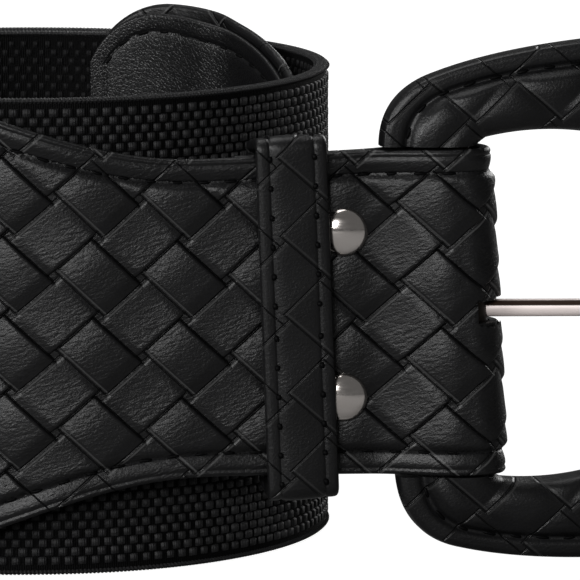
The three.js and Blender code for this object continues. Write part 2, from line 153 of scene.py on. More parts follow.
# Stitches
STITCH_INSET = 3.7
STITCH_PITCH = 4.3
STITCH_LENGTH = 2.2
THREAD_RADIUS = 0.25
GROOVE_DEPTH = 0.14
GROOVE_WIDTH = 0.8
SEAM_DEPTH = 0.26
SEAM_WIDTH = 0.2
STITCH_SINK = 0.15
KEEPER_SEAM_INSET = 2.1
KEEPER_PIT_PITCH = 4.6
KEEPER_PIT_LENGTH = 1.1
KEEPER_PIT_RADIUS = 0.42
KEEPER_PIT_SINK = 0.3
FRAME_SEAM_SHARE = 0.742

# Webbing
BLOCK_PITCH = 2.06
BLOCK_ROW = 1.41
SELVEDGE_WIDTH = 0.9
RIDGE_PITCH = 0.62
YARN_PITCH = 0.36
RIDGE_SWELL = 0.2

random = np.random.default_rng(11)


def ease(share):
    """A smooth step from 0 to 1."""
    return (1 - np.cos(np.pi * np.clip(share, 0, 1))) / 2


def arc_to_turn(turn):
    spiral = SPIRAL_RATE * (turn * turn - STRAP_ANGLE * STRAP_ANGLE) / 2
    return STRAP_RUN + COIL_RADIUS * (turn + STRAP_ANGLE) - spiral


TIP_TAB_START = arc_to_turn(TIP_TAB_TURN)
ELASTIC_START = BUCKLE_TAB_LENGTH - SEAM_OVERLAP
ELASTIC_END = TIP_TAB_START + SEAM_OVERLAP


def turn_at(length):
    """Turn round the coil at a length along the belt."""
    half = SPIRAL_RATE / 2
    rest = length - STRAP_RUN - COIL_RADIUS * STRAP_ANGLE - half * STRAP_ANGLE**2
    return (COIL_RADIUS - np.sqrt(COIL_RADIUS**2 - 4 * half * rest)) / (2 * half)


def belt_point(length, height, outwards):
    """Point of the belt: length from the bar, height, distance outwards from its middle."""
    length, height, outwards = np.broadcast_arrays(length, height, outwards)
    turn = np.where(length > STRAP_RUN, turn_at(np.maximum(length, STRAP_RUN)), -STRAP_ANGLE)
    radius = COIL_RADIUS - SPIRAL_RATE * turn + outwards
    straight = np.maximum(STRAP_RUN - length, 0)
    across = -radius * np.sin(turn) + straight * math.cos(STRAP_ANGLE)
    away = -radius * np.cos(turn) + straight * math.sin(STRAP_ANGLE)
    return np.stack([across, away, height], -1)


def leaning_point(length, height, outwards, middle):
    """Point of the strap, whose cross lines lean with the buckle."""
    lean = STRAP_TILT * (1 - ease(length / (STRAP_LENGTH + FLARE_LENGTH / 2)))
    return belt_point(length + lean * (height - middle), height, outwards)


bar_low, bar_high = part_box("buckle_bar")
bar_centre = np.array((bar_low + bar_high) / 2) * 1000
COIL_CENTRE = bar_centre - belt_point(0, BAR_HEIGHT, 0)


def place(points):
    """Metres of the part's frame from millimetres round the coil's centre."""
    return (points + COIL_CENTRE) / 1000


def tab_half_width(from_wide_end, inset):
    distance = from_wide_end + inset
    gap = np.clip(TAB_CORNER_RADIUS - distance, 0, TAB_CORNER_RADIUS)
    corner = TAB_MIDDLE - TAB_CORNER_RADIUS + np.sqrt(TAB_CORNER_RADIUS**2 - gap**2)
    flare = ease(1 - (distance - TAB_CORNER_RADIUS) / FLARE_LENGTH)
    side = STRAP_WIDTH / 2 + (TAB_WIDE_WIDTH - STRAP_WIDTH) / 2 * flare
    return np.where(distance < TAB_CORNER_RADIUS, corner, side) - inset


def tip_half_width(from_wide_end, inset):
    to_tip = TIP_TAB_LENGTH - 2 * inset - from_wide_end
    share = np.clip(1 - to_tip / TONGUE_TIP_LENGTH, 0, 0.995)
    return tab_half_width(from_wide_end, inset) * np.sqrt(1 - share * share)


def buckle_tab_middle(length):
    return BAR_HEIGHT + (TAB_MIDDLE - BAR_HEIGHT) * ease(length / BUCKLE_TAB_LENGTH)


def elastic_middle(length):
    from_end = np.minimum(length - ELASTIC_START, ELASTIC_END - length)
    return ELASTIC_WIDTH / 2 + ELASTIC_LIFT * (1 - ease(from_end / SEAM_OVERLAP))


def layer_beside(from_elastic_end, covered, bare):
    """Layer that a leather follows over the elastic and beyond the elastic's end."""
    return bare + (covered - bare) * ease(1 + from_elastic_end / BEND_STEP / 2)


def fold_length(path):
    """Length from the bar at a place on the folded leather's own path."""
    return np.where(path > 0, path, np.where(path < -FOLD_ARC, -path - FOLD_ARC, 0))


def folded_point(path, height, outwards):
    """Point beside the folded leather; its path is 0 where the turn round the bar starts."""
    path, height, outwards = np.broadcast_arrays(path, height, outwards)
    length = fold_length(path)
    angle = np.clip(-path / FOLD_ARC, 0, 1) * np.pi
    eased = ease((length - FOLD_EASE[0]) / (FOLD_EASE[1] - FOLD_EASE[0]))
    flat = layer_beside(length - ELASTIC_START, COVERED_OUTER, FRONT_LAYER)
    flat = np.where(path > 0, flat, FRONT_LAYER)
    reach = FOLD_RADIUS + (flat - FOLD_RADIUS) * eased + outwards
    along = length - reach * np.sin(angle)
    return leaning_point(along, height, reach * np.cos(angle), buckle_tab_middle(length))


def folded_half_width(path):
    length = fold_length(path)
    flare = (FOLD_WIDTH - STRAP_WIDTH) / 2 * (1 - ease(length / STRAP_LENGTH))
    return tab_half_width(BUCKLE_TAB_LENGTH - length, 0) + flare


def folded_middle(path):
    return buckle_tab_middle(fold_length(path))


def level_middle(path):
    return np.full(np.shape(path), float(TAB_MIDDLE))


# Meshes


def grid_faces(rows, columns, wrap_rows=False, wrap_columns=False):
    i = np.arange(rows if wrap_rows else rows - 1)[:, None]
    j = np.arange(columns if wrap_columns else columns - 1)[None, :]
    here, below = i * columns, (i + 1) % rows * columns
    beside = (j + 1) % columns
    corners = [here + j, here + beside, below + beside, below + j]
    return np.stack(np.broadcast_arrays(*corners), -1).reshape(-1, 4)


def signed_volume(points, faces):
    a, b, c = (points[faces[:, k]] for k in (0, 1, 2))
    volume = np.einsum("ij,ij->i", a, np.cross(b, c)).sum()
    if faces.shape[1] == 4:
        d = points[faces[:, 3]]
        volume += np.einsum("ij,ij->i", a, np.cross(c, d)).sum()
    return volume


class Shape:
    """Points, faces and flat surface places of one piece, gathered sheet by sheet."""

    def __init__(self):
        self.points, self.flats, self.faces = [], [], []
        self.size = 0

    def add(self, points, faces, flats=None):
        points = np.asarray(points, float).reshape(-1, 3)
        if flats is None:
            flats = points[:, [0, 2]]
        self.points.append(points)
        self.flats.append(np.asarray(flats, float).reshape(-1, 2))
        for part in faces if isinstance(faces, list) else [faces]:
            self.faces.append(part + self.size)
        self.size += len(points)

    def add_doubled(self, outer, inner, flats, keep=None, wrap_rows=False):
        """Closed solid between two grids of equal size, with walls round every opening."""
        rows, columns = outer.shape[:2]
        cells = grid_faces(rows, columns, wrap_rows)
        if keep is not None:
            cells = cells[keep.ravel()]
        count = rows * columns
        edges = np.concatenate([cells[:, [k, (k + 1) % 4]] for k in range(4)])
        forward = edges[:, 0] * count + edges[:, 1]
        backward = edges[:, 1] * count + edges[:, 0]
        rim = edges[~np.isin(forward, backward)]
        walls = np.stack([rim[:, 1], rim[:, 0], rim[:, 0] + count, rim[:, 1] + count], -1)
        faces = np.concatenate([cells, cells[:, ::-1] + count, walls])
        points = np.concatenate([outer.reshape(-1, 3), inner.reshape(-1, 3)])
        middle = points - points.mean(0)
        if signed_volume(middle, faces) < 0:
            faces = faces[:, ::-1]
        self.add(points, faces, np.concatenate([flats.reshape(-1, 2)] * 2))

    def add_lathe(self, profile, segments, matrix, origin):
        """Solid turned round the local Z axis; the profile's ends lie on the axis or meet."""
        profile = np.asarray(profile, float)
        angles = np.linspace(0, 2 * np.pi, segments, endpoint=False)
        ring = np.stack([np.cos(angles), np.sin(angles)], -1)
        local = np.empty((segments, len(profile), 3))
        local[..., :2] = ring[:, None, :] * profile[None, :, :1]
        local[..., 2] = profile[None, :, 1]
        faces = grid_faces(segments, len(profile), wrap_rows=True)
        if signed_volume(local.reshape(-1, 3), faces) < 0:
            faces = faces[:, ::-1]
        self.add(local.reshape(-1, 3) @ matrix.T + origin, faces)

    def add_tube(self, centres, radii, tall=1.0, segments=16, twist=None):
        """Closed tube along a line of points; its flat places are the stop and the rise's share."""
        ahead = np.gradient(centres, axis=0)
        ahead /= np.linalg.norm(ahead, axis=1)[:, None]
        up = np.array([0, 0, 1.0])
        side = np.cross(ahead, up)
        side /= np.linalg.norm(side, axis=1)[:, None]
        rise = np.cross(side, ahead)
        angles = np.linspace(0, 2 * np.pi, segments, endpoint=False)
        swell = radii[:, None] * (1 if twist is None else twist(angles))
        points = centres[:, None, :] + side[:, None, :] * (swell * np.cos(angles))[..., None]
        points = points + rise[:, None, :] * (tall * swell * np.sin(angles))[..., None]
        faces = grid_faces(len(centres), segments, wrap_columns=True)
        if signed_volume(points.reshape(-1, 3) - centres.mean(0), faces) < 0:
            faces = faces[:, ::-1]
        start = np.arange(segments)[None, :]
        end = start[:, ::-1] + (len(centres) - 1) * segments
        flats = np.stack(np.broadcast_arrays(np.arange(len(centres))[:, None], np.sin(angles)), -1)
        self.add(points, [faces, start, end], flats)


def build(name, shape, material, body, stands_for=(), sharp=50):
    """Blender object of a shape, riding on a body of the part."""
    points = place(np.concatenate(shape.points))
    flats = np.concatenate(shape.flats)
    corners = np.concatenate([faces.ravel() for faces in shape.faces])
    sizes = np.concatenate([np.full(len(faces), faces.shape[1]) for faces in shape.faces])
    mesh = bpy.data.meshes.new(name)
    mesh.vertices.add(len(points))
    mesh.vertices.foreach_set("co", points.astype(np.float32).ravel())
    mesh.loops.add(len(corners))
    mesh.loops.foreach_set("vertex_index", corners.astype(np.int32))
    mesh.polygons.add(len(sizes))
    mesh.polygons.foreach_set("loop_start", (np.cumsum(sizes) - sizes).astype(np.int32))
    mesh.update(calc_edges=True)
    layer = mesh.uv_layers.new(name="UVMap")
    layer.data.foreach_set("uv", flats[corners].astype(np.float32).ravel())
    mesh.validate()
    mesh.shade_smooth()
    mesh.set_sharp_from_angle(angle=math.radians(sharp))
    mesh.materials.append(material)
    piece = bpy.data.objects.new(name, mesh)
    bpy.context.scene.collection.objects.link(piece)
    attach(piece, body)
    if stands_for:
        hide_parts(*stands_for)
    return piece


# Leather strips


def rounding(distance, radius):
    """How far a rounded edge lies below its flat face, at a distance from the edge."""
    gap = radius - np.clip(distance, 0, radius)
    return radius - np.sqrt(radius**2 - gap**2)


def groove(distance, inset):
    """Depth of the hollow that the stitches pull in, with a sharp seam at its bottom."""
    hollow = GROOVE_DEPTH * np.exp(-(((distance - inset) / GROOVE_WIDTH) ** 2))
    return hollow + SEAM_DEPTH * np.exp(-(((distance - inset) / SEAM_WIDTH) ** 2))


class Strip:
    """A leather strip: stations along its path, its half width, middle line and surface."""

    def __init__(self, start, end, half_width, middle, surface, square_ends, finish):
        self.start, self.end = start, end
        self.half_width, self.middle, self.surface = half_width, middle, surface
        self.square_ends, self.finish = square_ends, finish

    def edge_distance(self, path, height):
        step = 0.05
        low = np.clip(path - step, self.start, self.end)
        high = np.clip(path + step, self.start, self.end)
        slope = (self.half_width(high) - self.half_width(low)) / np.maximum(high - low, step)
        room = self.half_width(path) - np.abs(height - self.middle(path))
        distance = room / np.sqrt(1 + slope**2)
        if self.square_ends[0]:
            distance = np.minimum(distance, path - self.start)
        if self.square_ends[1]:
            distance = np.minimum(distance, self.end - path)
        return distance

    def outline(self, stations, inset):
        """Points along both long sides and round the end, inset from the edge."""
        half = self.half_width(stations)
        middle = self.middle(stations)
        upper = np.stack([stations, middle + half], -1)
        lower = np.stack([stations, middle - half], -1)
        line = np.concatenate([lower, upper[::-1]])
        ahead = np.gradient(line, axis=0)
        ahead /= np.linalg.norm(ahead, axis=1)[:, None]
        inward = np.stack([-ahead[:, 1], ahead[:, 0]], -1)
        return line + inward * inset


EDGE_STEPS = np.array(
    [0, 0.1, 0.25, 0.5, 0.75, 0.9, 1.05, 1.2, 1.45, 1.9, 2.4, 2.8, 3.1, 3.35, 3.5, 3.6, 3.7, 3.8, 3.9,
     4.05, 4.3, 4.7, 5.2])


def strip_columns(half, inner_half, count):
    """Heights across a strip at each station: fine at the edges, even between them."""
    steps = EDGE_STEPS[None, :] * np.minimum(1, half / 8)[:, None]
    edge = half[:, None] - steps
    shares = np.linspace(0, 1, count + 1)[None, 1:]
    upper = edge[:, -1:] + (inner_half - edge[:, -1:]) * shares
    upper = np.concatenate([edge, upper], 1)
    return np.concatenate([-upper, upper[:, ::-1]], 1)


def strip_sheets(strip, stations, thickness, inner_half, count):
    half = strip.half_width(stations)
    rises = strip_columns(half, inner_half, count)
    heights = strip.middle(stations)[:, None] + rises
    paths = np.broadcast_to(stations[:, None], heights.shape)
    distance = np.maximum(strip.edge_distance(paths, heights), 0)
    outer = strip.surface(paths, heights, strip.finish(distance))
    inner = strip.surface(paths, heights, rounding(distance, 0.45 * thickness) - thickness / 2)
    return outer, inner, np.stack([paths, heights], -1)


def corner_stations(from_end, radius, steps, direction):
    """Stations spaced evenly round a rounded corner, given from the end inwards."""
    angles = np.linspace(0, np.pi / 2, steps)
    return from_end + direction * radius * (1 - np.cos(angles))


def joined(*runs):
    return np.unique(np.round(np.concatenate(runs), 4))


def along_line(line, pitch):
    """Even places on a line of flat points, with the direction at each."""
    steps = np.linalg.norm(np.diff(line, axis=0), axis=1)
    run = np.concatenate([[0], np.cumsum(steps)])
    marks = np.arange(pitch / 2, run[-1], pitch)
    spots = np.stack([np.interp(marks, run, line[:, k]) for k in range(line.shape[1])], -1)
    ahead = [np.interp(marks + 0.4, run, line[:, k]) for k in range(line.shape[1])]
    behind = [np.interp(marks - 0.4, run, line[:, k]) for k in range(line.shape[1])]
    direction = np.stack(ahead, -1) - np.stack(behind, -1)
    return spots, direction / np.linalg.norm(direction, axis=1)[:, None]


def thread_template(length, radius, rings=9, segments=8):
    """One stitch: along, across and out, with its ends bending into the leather."""
    share = np.sin(np.linspace(-np.pi / 2, np.pi / 2, rings))
    along = share * length / 2
    thick = radius * np.sqrt(np.clip(1 - np.abs(share) ** 3.5, 0.02, 1))
    angles = np.linspace(0, 2 * np.pi, segments, endpoint=False)
    points = np.empty((rings, segments, 3))
    points[..., 0] = along[:, None]
    points[..., 1] = thick[:, None] * np.cos(angles)
    points[..., 2] = thick[:, None] * np.sin(angles) - radius * 1.3 * share[:, None] ** 4
    faces = grid_faces(rings, segments, wrap_columns=True)
    start = np.arange(segments)[None, :]
    return points.reshape(-1, 3), [faces[:, ::-1], start[:, ::-1], start + (rings - 1) * segments]


def add_stitches(shape, centres, ahead, outwards, length=STITCH_LENGTH, radius=THREAD_RADIUS):
    """Stitches at points in the room, each roughly along its direction on its surface."""
    template, faces = thread_template(length, radius)
    outwards = outwards / np.linalg.norm(outwards, axis=1)[:, None]
    ahead = ahead - outwards * (ahead * outwards).sum(1)[:, None]
    ahead = ahead / np.linalg.norm(ahead, axis=1)[:, None]
    beside = np.cross(outwards, ahead)
    stretches = random.uniform(0.85, 1.12, len(centres))
    leans = random.uniform(-0.12, 0.12, len(centres))
    for centre, a, b, c, stretch, lean in zip(centres, ahead, beside, outwards, stretches, leans):
        local = template @ np.stack([stretch * (a + lean * b), b, c])
        shape.add(local + centre, faces)


def stitch_surface(shape, line, surface, level, pitch=STITCH_PITCH, **sizes):
    """Stitches along a line of flat places on a surface."""
    spots, direction = along_line(line, pitch)
    centres = surface(spots[:, 0], spots[:, 1], level)
    beyond = surface(spots[:, 0] + direction[:, 0], spots[:, 1] + direction[:, 1], level)
    above = surface(spots[:, 0], spots[:, 1], level + 1)
    add_stitches(shape, centres, beyond - centres, above - centres, **sizes)


# Basketweave emboss


def tile_steps(count):
    edge = np.array([0, 0.012, 0.03, 0.06, 0.1])
    return np.concatenate([edge, np.linspace(0.15, 0.85, count), 1 - edge[::-1]])


def edge_round(share, width):
    """0 on a strand's border, 1 from a little inside it."""
    inside = np.clip(np.minimum(share, 1 - share) / width, 0, 1)
    return np.sqrt(1 - (1 - inside) ** 2)


def first_tile(steps, cell):
    """A strand of the first family where it lies on top: cell places and heights."""
    along, across = np.meshgrid(steps, steps, indexing="ij")
    first = -0.05 + 1.25 * along
    low, high = FIRST_STRAND
    climb = 1 - np.clip((first + 0.05) / 0.62, 0, 1)
    rise = 1 - climb**2 - 0.62 * ease((first - 0.86) / 0.34)
    crown = 0.18 * (1 - (2 * across - 1) ** 2)
    height = (rise + crown + 0.35) * edge_round(across, 0.07) - 0.35
    return cell[0] + first, cell[1] + low + (high - low) * across, height


def second_tile(steps, cell):
    """A strand of the second family where it lies on top."""
    across, along = np.meshgrid(steps, steps, indexing="ij")
    second = -0.14 + 1.2 * along
    low, high = SECOND_STRAND
    ends = ease((second + 0.14) / 0.2) * ease((1.06 - second) / 0.2)
    rise = 0.25 + 0.75 * across ** 2.2
    crown = 0.12 * (1 - (2 * across - 1) ** 2)
    height = ((rise + crown) * (0.45 + 0.55 * ends) + 0.35) * edge_round(across, 0.06) - 0.35
    return cell[0] + low + (high - low) * across, cell[1] + second, height


def cells_over(low, high):
    """Lattice cells that touch a rectangle of flat places."""
    corners = np.array([[x, y] for x in (low[0], high[0]) for y in (low[1], high[1])])
    cells = (corners - WEAVE_ORIGIN) @ TO_CELL.T
    first = range(int(cells[:, 0].min()) - 2, int(cells[:, 0].max()) + 2)
    second = range(int(cells[:, 1].min()) - 2, int(cells[:, 1].max()) + 2)
    return [(i, j) for i in first for j in second]


def add_weave(shape, strip, low, high, count, holes):
    """Raised strands over a strip, sunk into it towards its stitched edge."""
    steps = tile_steps(count)
    for cell in cells_over(low, high):
        tile = first_tile if (cell[0] + cell[1]) % 2 == 0 else second_tile
        first, second, height = tile(steps, cell)
        spots = WEAVE_ORIGIN + first[..., None] * WEAVE_FIRST + second[..., None] * WEAVE_SECOND
        path, level = spots[..., 0], spots[..., 1]
        inside = (path > strip.start + 0.5) & (path < strip.end - 0.5)
        path = np.clip(path, strip.start, strip.end)
        distance = strip.edge_distance(path, level)
        share = ease((distance - STITCH_INSET + 0.5) / 1.7)
        out = strip.finish(np.maximum(distance, 0)) - 0.12 * (1 - share)
        out = out + WEAVE_RELIEF * height * share
        inside &= (distance > 1.2) & ~holes(path, level)
        faces = grid_faces(len(steps), len(steps))
        kept = faces[inside.ravel()[faces].all(1)]
        if not len(kept):
            continue
        points = strip.surface(path, level, out).reshape(-1, 3)
        above = strip.surface(path, level, out + 1).reshape(-1, 3)
        a, b, c = points[kept[:, 0]], points[kept[:, 1]], points[kept[:, 2]]
        facing = np.einsum("ij,ij->i", np.cross(b - a, c - a), above[kept[:, 0]] - a).sum()
        used, kept = np.unique(kept, return_inverse=True)
        kept = kept.reshape(-1, 4)
        shape.add(points[used], kept if facing > 0 else kept[:, ::-1], spots.reshape(-1, 2)[used])


# Materials


class Graph:
    """Short calls that add nodes to a material."""

    def __init__(self, name):
        self.material = bpy.data.materials.new(name)
        self.material.use_nodes = True
        self.nodes = self.material.node_tree.nodes
        self.links = self.material.node_tree.links
        self.shader = self.nodes["Principled BSDF"]

    def feed(self, socket, value):
        if isinstance(value, bpy.types.NodeSocket):
            self.links.new(value, socket)
        else:
            socket.default_value = value

    def math(self, operation, *values):
        node = self.nodes.new("ShaderNodeMath")
        node.operation = operation
        for socket, value in zip(node.inputs, values):
            self.feed(socket, value)
        return node.outputs[0]

    def smooth(self, value, low, high, start=0.0, end=1.0):
        node = self.nodes.new("ShaderNodeMapRange")
        node.interpolation_type = "SMOOTHSTEP"
        for key, given in zip(("Value", "From Min", "From Max"), (value, low, high)):
            self.feed(node.inputs[key], given)
        node.inputs["To Min"].default_value = start
        node.inputs["To Max"].default_value = end
        return node.outputs[0]

    def flat(self):
        """Flat surface place in millimetres, and its two parts."""
        node = self.nodes.new("ShaderNodeTexCoord")
        parts = self.nodes.new("ShaderNodeSeparateXYZ")
        self.links.new(node.outputs["UV"], parts.inputs[0])
        return node.outputs["UV"], parts.outputs[0], parts.outputs[1]

    def room(self):
        """Place in the part's frame, in metres."""
        return self.nodes.new("ShaderNodeNewGeometry").outputs["Position"]

    def scaled(self, vector, scale, turn=0.0):
        """Coordinates turned about their third axis, then scaled."""
        for key, given in (("Rotation", (0, 0, turn)), ("Scale", scale)):
            node = self.nodes.new("ShaderNodeMapping")
            self.links.new(vector, node.inputs[0])
            node.inputs[key].default_value = given
            vector = node.outputs[0]
        return vector

    def noise(self, vector, scale, detail=3.0, rough=0.55, distortion=0.0):
        node = self.nodes.new("ShaderNodeTexNoise")
        self.links.new(vector, node.inputs["Vector"])
        node.inputs["Scale"].default_value = scale
        node.inputs["Detail"].default_value = detail
        node.inputs["Roughness"].default_value = rough
        node.inputs["Distortion"].default_value = distortion
        return node.outputs[0]

    def pebbles(self, vector, scale):
        node = self.nodes.new("ShaderNodeTexVoronoi")
        node.feature = "DISTANCE_TO_EDGE"
        self.links.new(vector, node.inputs["Vector"])
        node.inputs["Scale"].default_value = scale
        return node.outputs["Distance"]

    def bump(self, height, distance, strength=1.0, after=None):
        node = self.nodes.new("ShaderNodeBump")
        node.inputs["Strength"].default_value = strength
        node.inputs["Distance"].default_value = distance
        self.links.new(height, node.inputs["Height"])
        if after is not None:
            self.links.new(after, node.inputs["Normal"])
        return node.outputs[0]

    def colours(self, share, first, second):
        node = self.nodes.new("ShaderNodeMix")
        node.data_type = "RGBA"
        self.feed(node.inputs[0], share)
        for socket, value in zip(node.inputs[6:8], (first, second)):
            self.feed(socket, value if isinstance(value, bpy.types.NodeSocket) else (*value, 1))
        return node.outputs[2]

    def finish(self, colour, roughness, normal):
        self.feed(self.shader.inputs["Base Color"], colour)
        self.feed(self.shader.inputs["Roughness"], roughness)
        if normal is not None:
            self.links.new(normal, self.shader.inputs["Normal"])
        return self.material


def weave_marks(graph, along, height):
    """From 0 to 1: the creases between strands, which are relief and painted shade; the rims along
    one side of each strand, which are painted highlight; and the strands' raised ends.
    """
    x = graph.math("SUBTRACT", along, float(WEAVE_ORIGIN[0]))
    y = graph.math("SUBTRACT", height, float(WEAVE_ORIGIN[1]))
    cell = []
    for row in TO_CELL:
        first = graph.math("MULTIPLY", x, float(row[0]))
        cell.append(graph.math("MULTIPLY_ADD", y, float(row[1]), first))
    whole = [graph.math("FLOOR", value) for value in cell]
    part = [graph.math("SUBTRACT", value, base) for value, base in zip(cell, whole)]
    odd = graph.math("FLOORED_MODULO", graph.math("ADD", *whole), 2.0)
    even = graph.math("SUBTRACT", 1.0, odd)

    def line(value, at, width):
        away = graph.math("ABSOLUTE", graph.math("SUBTRACT", value, at))
        return graph.smooth(away, 0.0, width, 1.0, 0.0)

    start = graph.math("LESS_THAN", part[0], SECOND_STRAND[0])
    first_near = graph.math("MAXIMUM", even, start)
    first_edge = graph.math(
        "MULTIPLY", line(part[1], FIRST_STRAND[1], FIRST_CREASE), first_near)
    second_edge = graph.math("MULTIPLY", line(part[0], 1.0, SECOND_CREASE), odd)
    second_beyond = graph.math("MULTIPLY", line(part[0], 0.0, SECOND_CREASE), even)
    first_low, second_low = FIRST_STRAND[0], SECOND_STRAND[0]
    first_foot = graph.math(
        "MULTIPLY", line(part[1], first_low - RIM_SHARE, RIM_SHARE), first_near)
    second_foot = graph.math(
        "MULTIPLY", line(part[0], second_low - RIM_SHARE, RIM_SHARE), odd)
    creases = first_edge
    for crease in (second_edge, second_beyond, first_foot, second_foot):
        creases = graph.math("MAXIMUM", creases, crease)
    first_rim = graph.math(
        "MULTIPLY", line(part[1], first_low + RIM_SHARE, RIM_SHARE), first_near)
    second_rim = graph.math(
        "MULTIPLY", line(part[0], second_low + RIM_SHARE, RIM_SHARE), odd)
    rim_highlights = graph.math("MAXIMUM", first_rim, second_rim)
    first_end = graph.math("MULTIPLY", graph.smooth(part[0], 0.1, 0.6, 1.0, 0.0), even)
    second_end = graph.math("MULTIPLY", graph.smooth(part[0], 0.35, 0.85), odd)
    return creases, rim_highlights, graph.math("ADD", first_end, second_end)


def woven_leather(name, wrinkled, painted_rim_highlight):
    graph = Graph(name)
    flat, along, height = graph.flat()
    creases, rim_highlights, ends = weave_marks(graph, along, height)
    wrinkles = graph.noise(graph.scaled(flat, (0.7, 1.9, 1), 0.3), 1.0, 3.0, 0.5, 0.5)
    grain = graph.noise(flat, 2.6, 4.0, 0.6, 0.2)
    patches = graph.noise(flat, 0.12, 3.0)
    depth = graph.math("MULTIPLY", wrinkles, graph.smooth(ends, 0.0, 1.0, 0.5 * wrinkled, wrinkled))
    first = graph.bump(graph.math("SUBTRACT", 1.0, creases), 0.00025, 1.0)
    second = graph.bump(depth, WRINKLE_DEPTH, 1.0, first)
    third = graph.bump(grain, GRAIN_DEPTH, 1.0, second)
    shade = graph.math("MULTIPLY_ADD", grain, 0.5, graph.math("MULTIPLY", patches, 0.5))
    shade = graph.smooth(shade, 0.35, 0.68)
    # Painted shade: the colour darkens in the creases between strands.
    shade = graph.math("MULTIPLY", shade, graph.smooth(creases, 0.0, 1.0, 1.0, 0.1))
    colour = graph.colours(shade, (0.0016, 0.0016, 0.0018), (0.006, 0.006, 0.0064))
    # Painted highlight: a paler colour along the rim on one side of each strand, where light would
    # catch its edge.
    colour = graph.colours(rim_highlights, colour, (painted_rim_highlight, painted_rim_highlight, painted_rim_highlight))
    rough = graph.smooth(graph.math("ADD", grain, patches), 0.6, 1.4, 0.4, 0.34)
    graph.shader.inputs["Specular IOR Level"].default_value = 0.3
    return graph.finish(colour, rough, third)


def lining_leather(name):
    graph = Graph(name)
    flat, _, _ = graph.flat()
    grain = graph.smooth(graph.pebbles(flat, 1.7), 0.0, 0.2)
    pores = graph.noise(flat, 2.6, 4.0)
    soft = graph.noise(flat, 0.09, 2.0)
    first = graph.bump(grain, 0.00005, 0.5)
    second = graph.bump(pores, 0.00006, 0.5, first)
    shade = graph.math("MULTIPLY_ADD", grain, 0.4, graph.math("MULTIPLY", soft, 0.6))
    colour = graph.colours(shade, (0.0016, 0.0016, 0.0018), (0.006, 0.006, 0.0064))
    rough = graph.smooth(pores, 0.3, 0.7, 0.3, 0.36)
    graph.shader.inputs["Specular IOR Level"].default_value = 0.27
    return graph.finish(colour, rough, second)


def webbing(name, light, gloss):
    """Woven rubber and yarn; the ground between its raised yarns is darker and duller."""
    graph = Graph(name)
    flat, along, height = graph.flat()
    strands = graph.math("SINE", graph.math("MULTIPLY", along, 2 * math.pi / YARN_PITCH))
    fuzz = graph.noise(flat, 3.2, 4.0)
    first = graph.bump(strands, 0.00005, 0.6)
    second = graph.bump(fuzz, 0.00015, 0.6, first)
    shade = graph.smooth(fuzz, 0.35, 0.7)
    dark, pale = 0.003 * light, 0.012 * light
    colour = graph.colours(shade, (dark, dark, dark * 1.1), (pale, pale, pale * 1.08))
    graph.shader.inputs["Specular IOR Level"].default_value = gloss
    graph.shader.inputs["Sheen Weight"].default_value = 0.03 * light
    graph.shader.inputs["Sheen Roughness"].default_value = 0.5
    return graph.finish(colour, graph.smooth(fuzz, 0.3, 0.7, 0.5, 0.68), second)


def thread(name):
    graph = Graph(name)
    position = graph.room()
    twist = graph.noise(position, 2600, 2.0)
    colour = graph.colours(twist, (0.0004, 0.0004, 0.0005), (0.0016, 0.0016, 0.0018))
    graph.shader.inputs["Specular IOR Level"].default_value = 0.06
    rough = graph.smooth(twist, 0.3, 0.7, 0.5, 0.7)
    return graph.finish(colour, rough, graph.bump(twist, 0.0001, 0.6))


def nickel(name, dark, pale, rough):
    graph = Graph(name)
    position = graph.room()
    cloud = graph.noise(position, 240, 4.0)
    scratch = graph.noise(graph.scaled(position, (300, 2500, 2500)), 1.0, 3.0)
    colour = graph.colours(cloud, dark, pale)
    graph.shader.inputs["Metallic"].default_value = 1.0
    uneven = graph.smooth(scratch, 0.3, 0.7, rough, rough + 0.1)
    return graph.finish(colour, uneven, graph.bump(scratch, 0.00001, 0.4))


def nickel_with_painted_reflection(name):
    """Pale warm metal, with a painted reflection: a dark line along the upper flank of a rod."""
    graph = Graph(name)
    _, _, rise = graph.flat()
    scratch = graph.noise(graph.scaled(graph.room(), (300, 2500, 2500)), 1.0, 3.0)
    # Painted reflection: this band along the rod's upper flank darkens the colour where a polished
    # rod would reflect its dark surroundings.
    dark = graph.math("SUBTRACT", graph.smooth(rise, 0.3, 0.42), graph.smooth(rise, 0.84, 0.95))
    colour = graph.colours(scratch, (0.86, 0.76, 0.73), (0.93, 0.83, 0.8))
    colour = graph.colours(dark, colour, (0.03, 0.017, 0.012))
    graph.shader.inputs["Metallic"].default_value = 0.3
    graph.shader.inputs["Specular IOR Level"].default_value = 0.2
    return graph.finish(colour, graph.smooth(scratch, 0.3, 0.7, 0.36, 0.44), None)


# The last value is the colour of the painted rim highlight.
LEATHER = woven_leather("woven_leather", 1.0, 0.05)
SMOOTH_LEATHER = woven_leather("woven_leather_smooth", 0.35, 0.016)
LINING = lining_leather("lining_leather")
WEBBING = webbing("elastic_webbing", 0.9, 0.26)
GROUND = webbing("elastic_ground", 0.15, 0.05)
INNER = webbing("elastic_inner", 0.5, 0.12)
THREAD = thread("stitch_thread")
NICKEL = nickel("polished_nickel", (0.84, 0.77, 0.72), (0.93, 0.88, 0.84), 0.1)
NICKEL_WITH_PAINTED_REFLECTION = nickel_with_painted_reflection("nickel_with_painted_reflection")
# Painted shade: a dark colour for the prong's eye and the bar, standing for the shade inside the
# slot; they are of the same nickel as the rivets.
PAINTED_SHADE_NICKEL = nickel("nickel_painted_shade", (0.014, 0.012, 0.01), (0.035, 0.03, 0.026), 0.4)

# Elastic webbing


def elastic_surface(length, rise, outwards):
    return belt_point(length, elastic_middle(length) + rise, outwards)


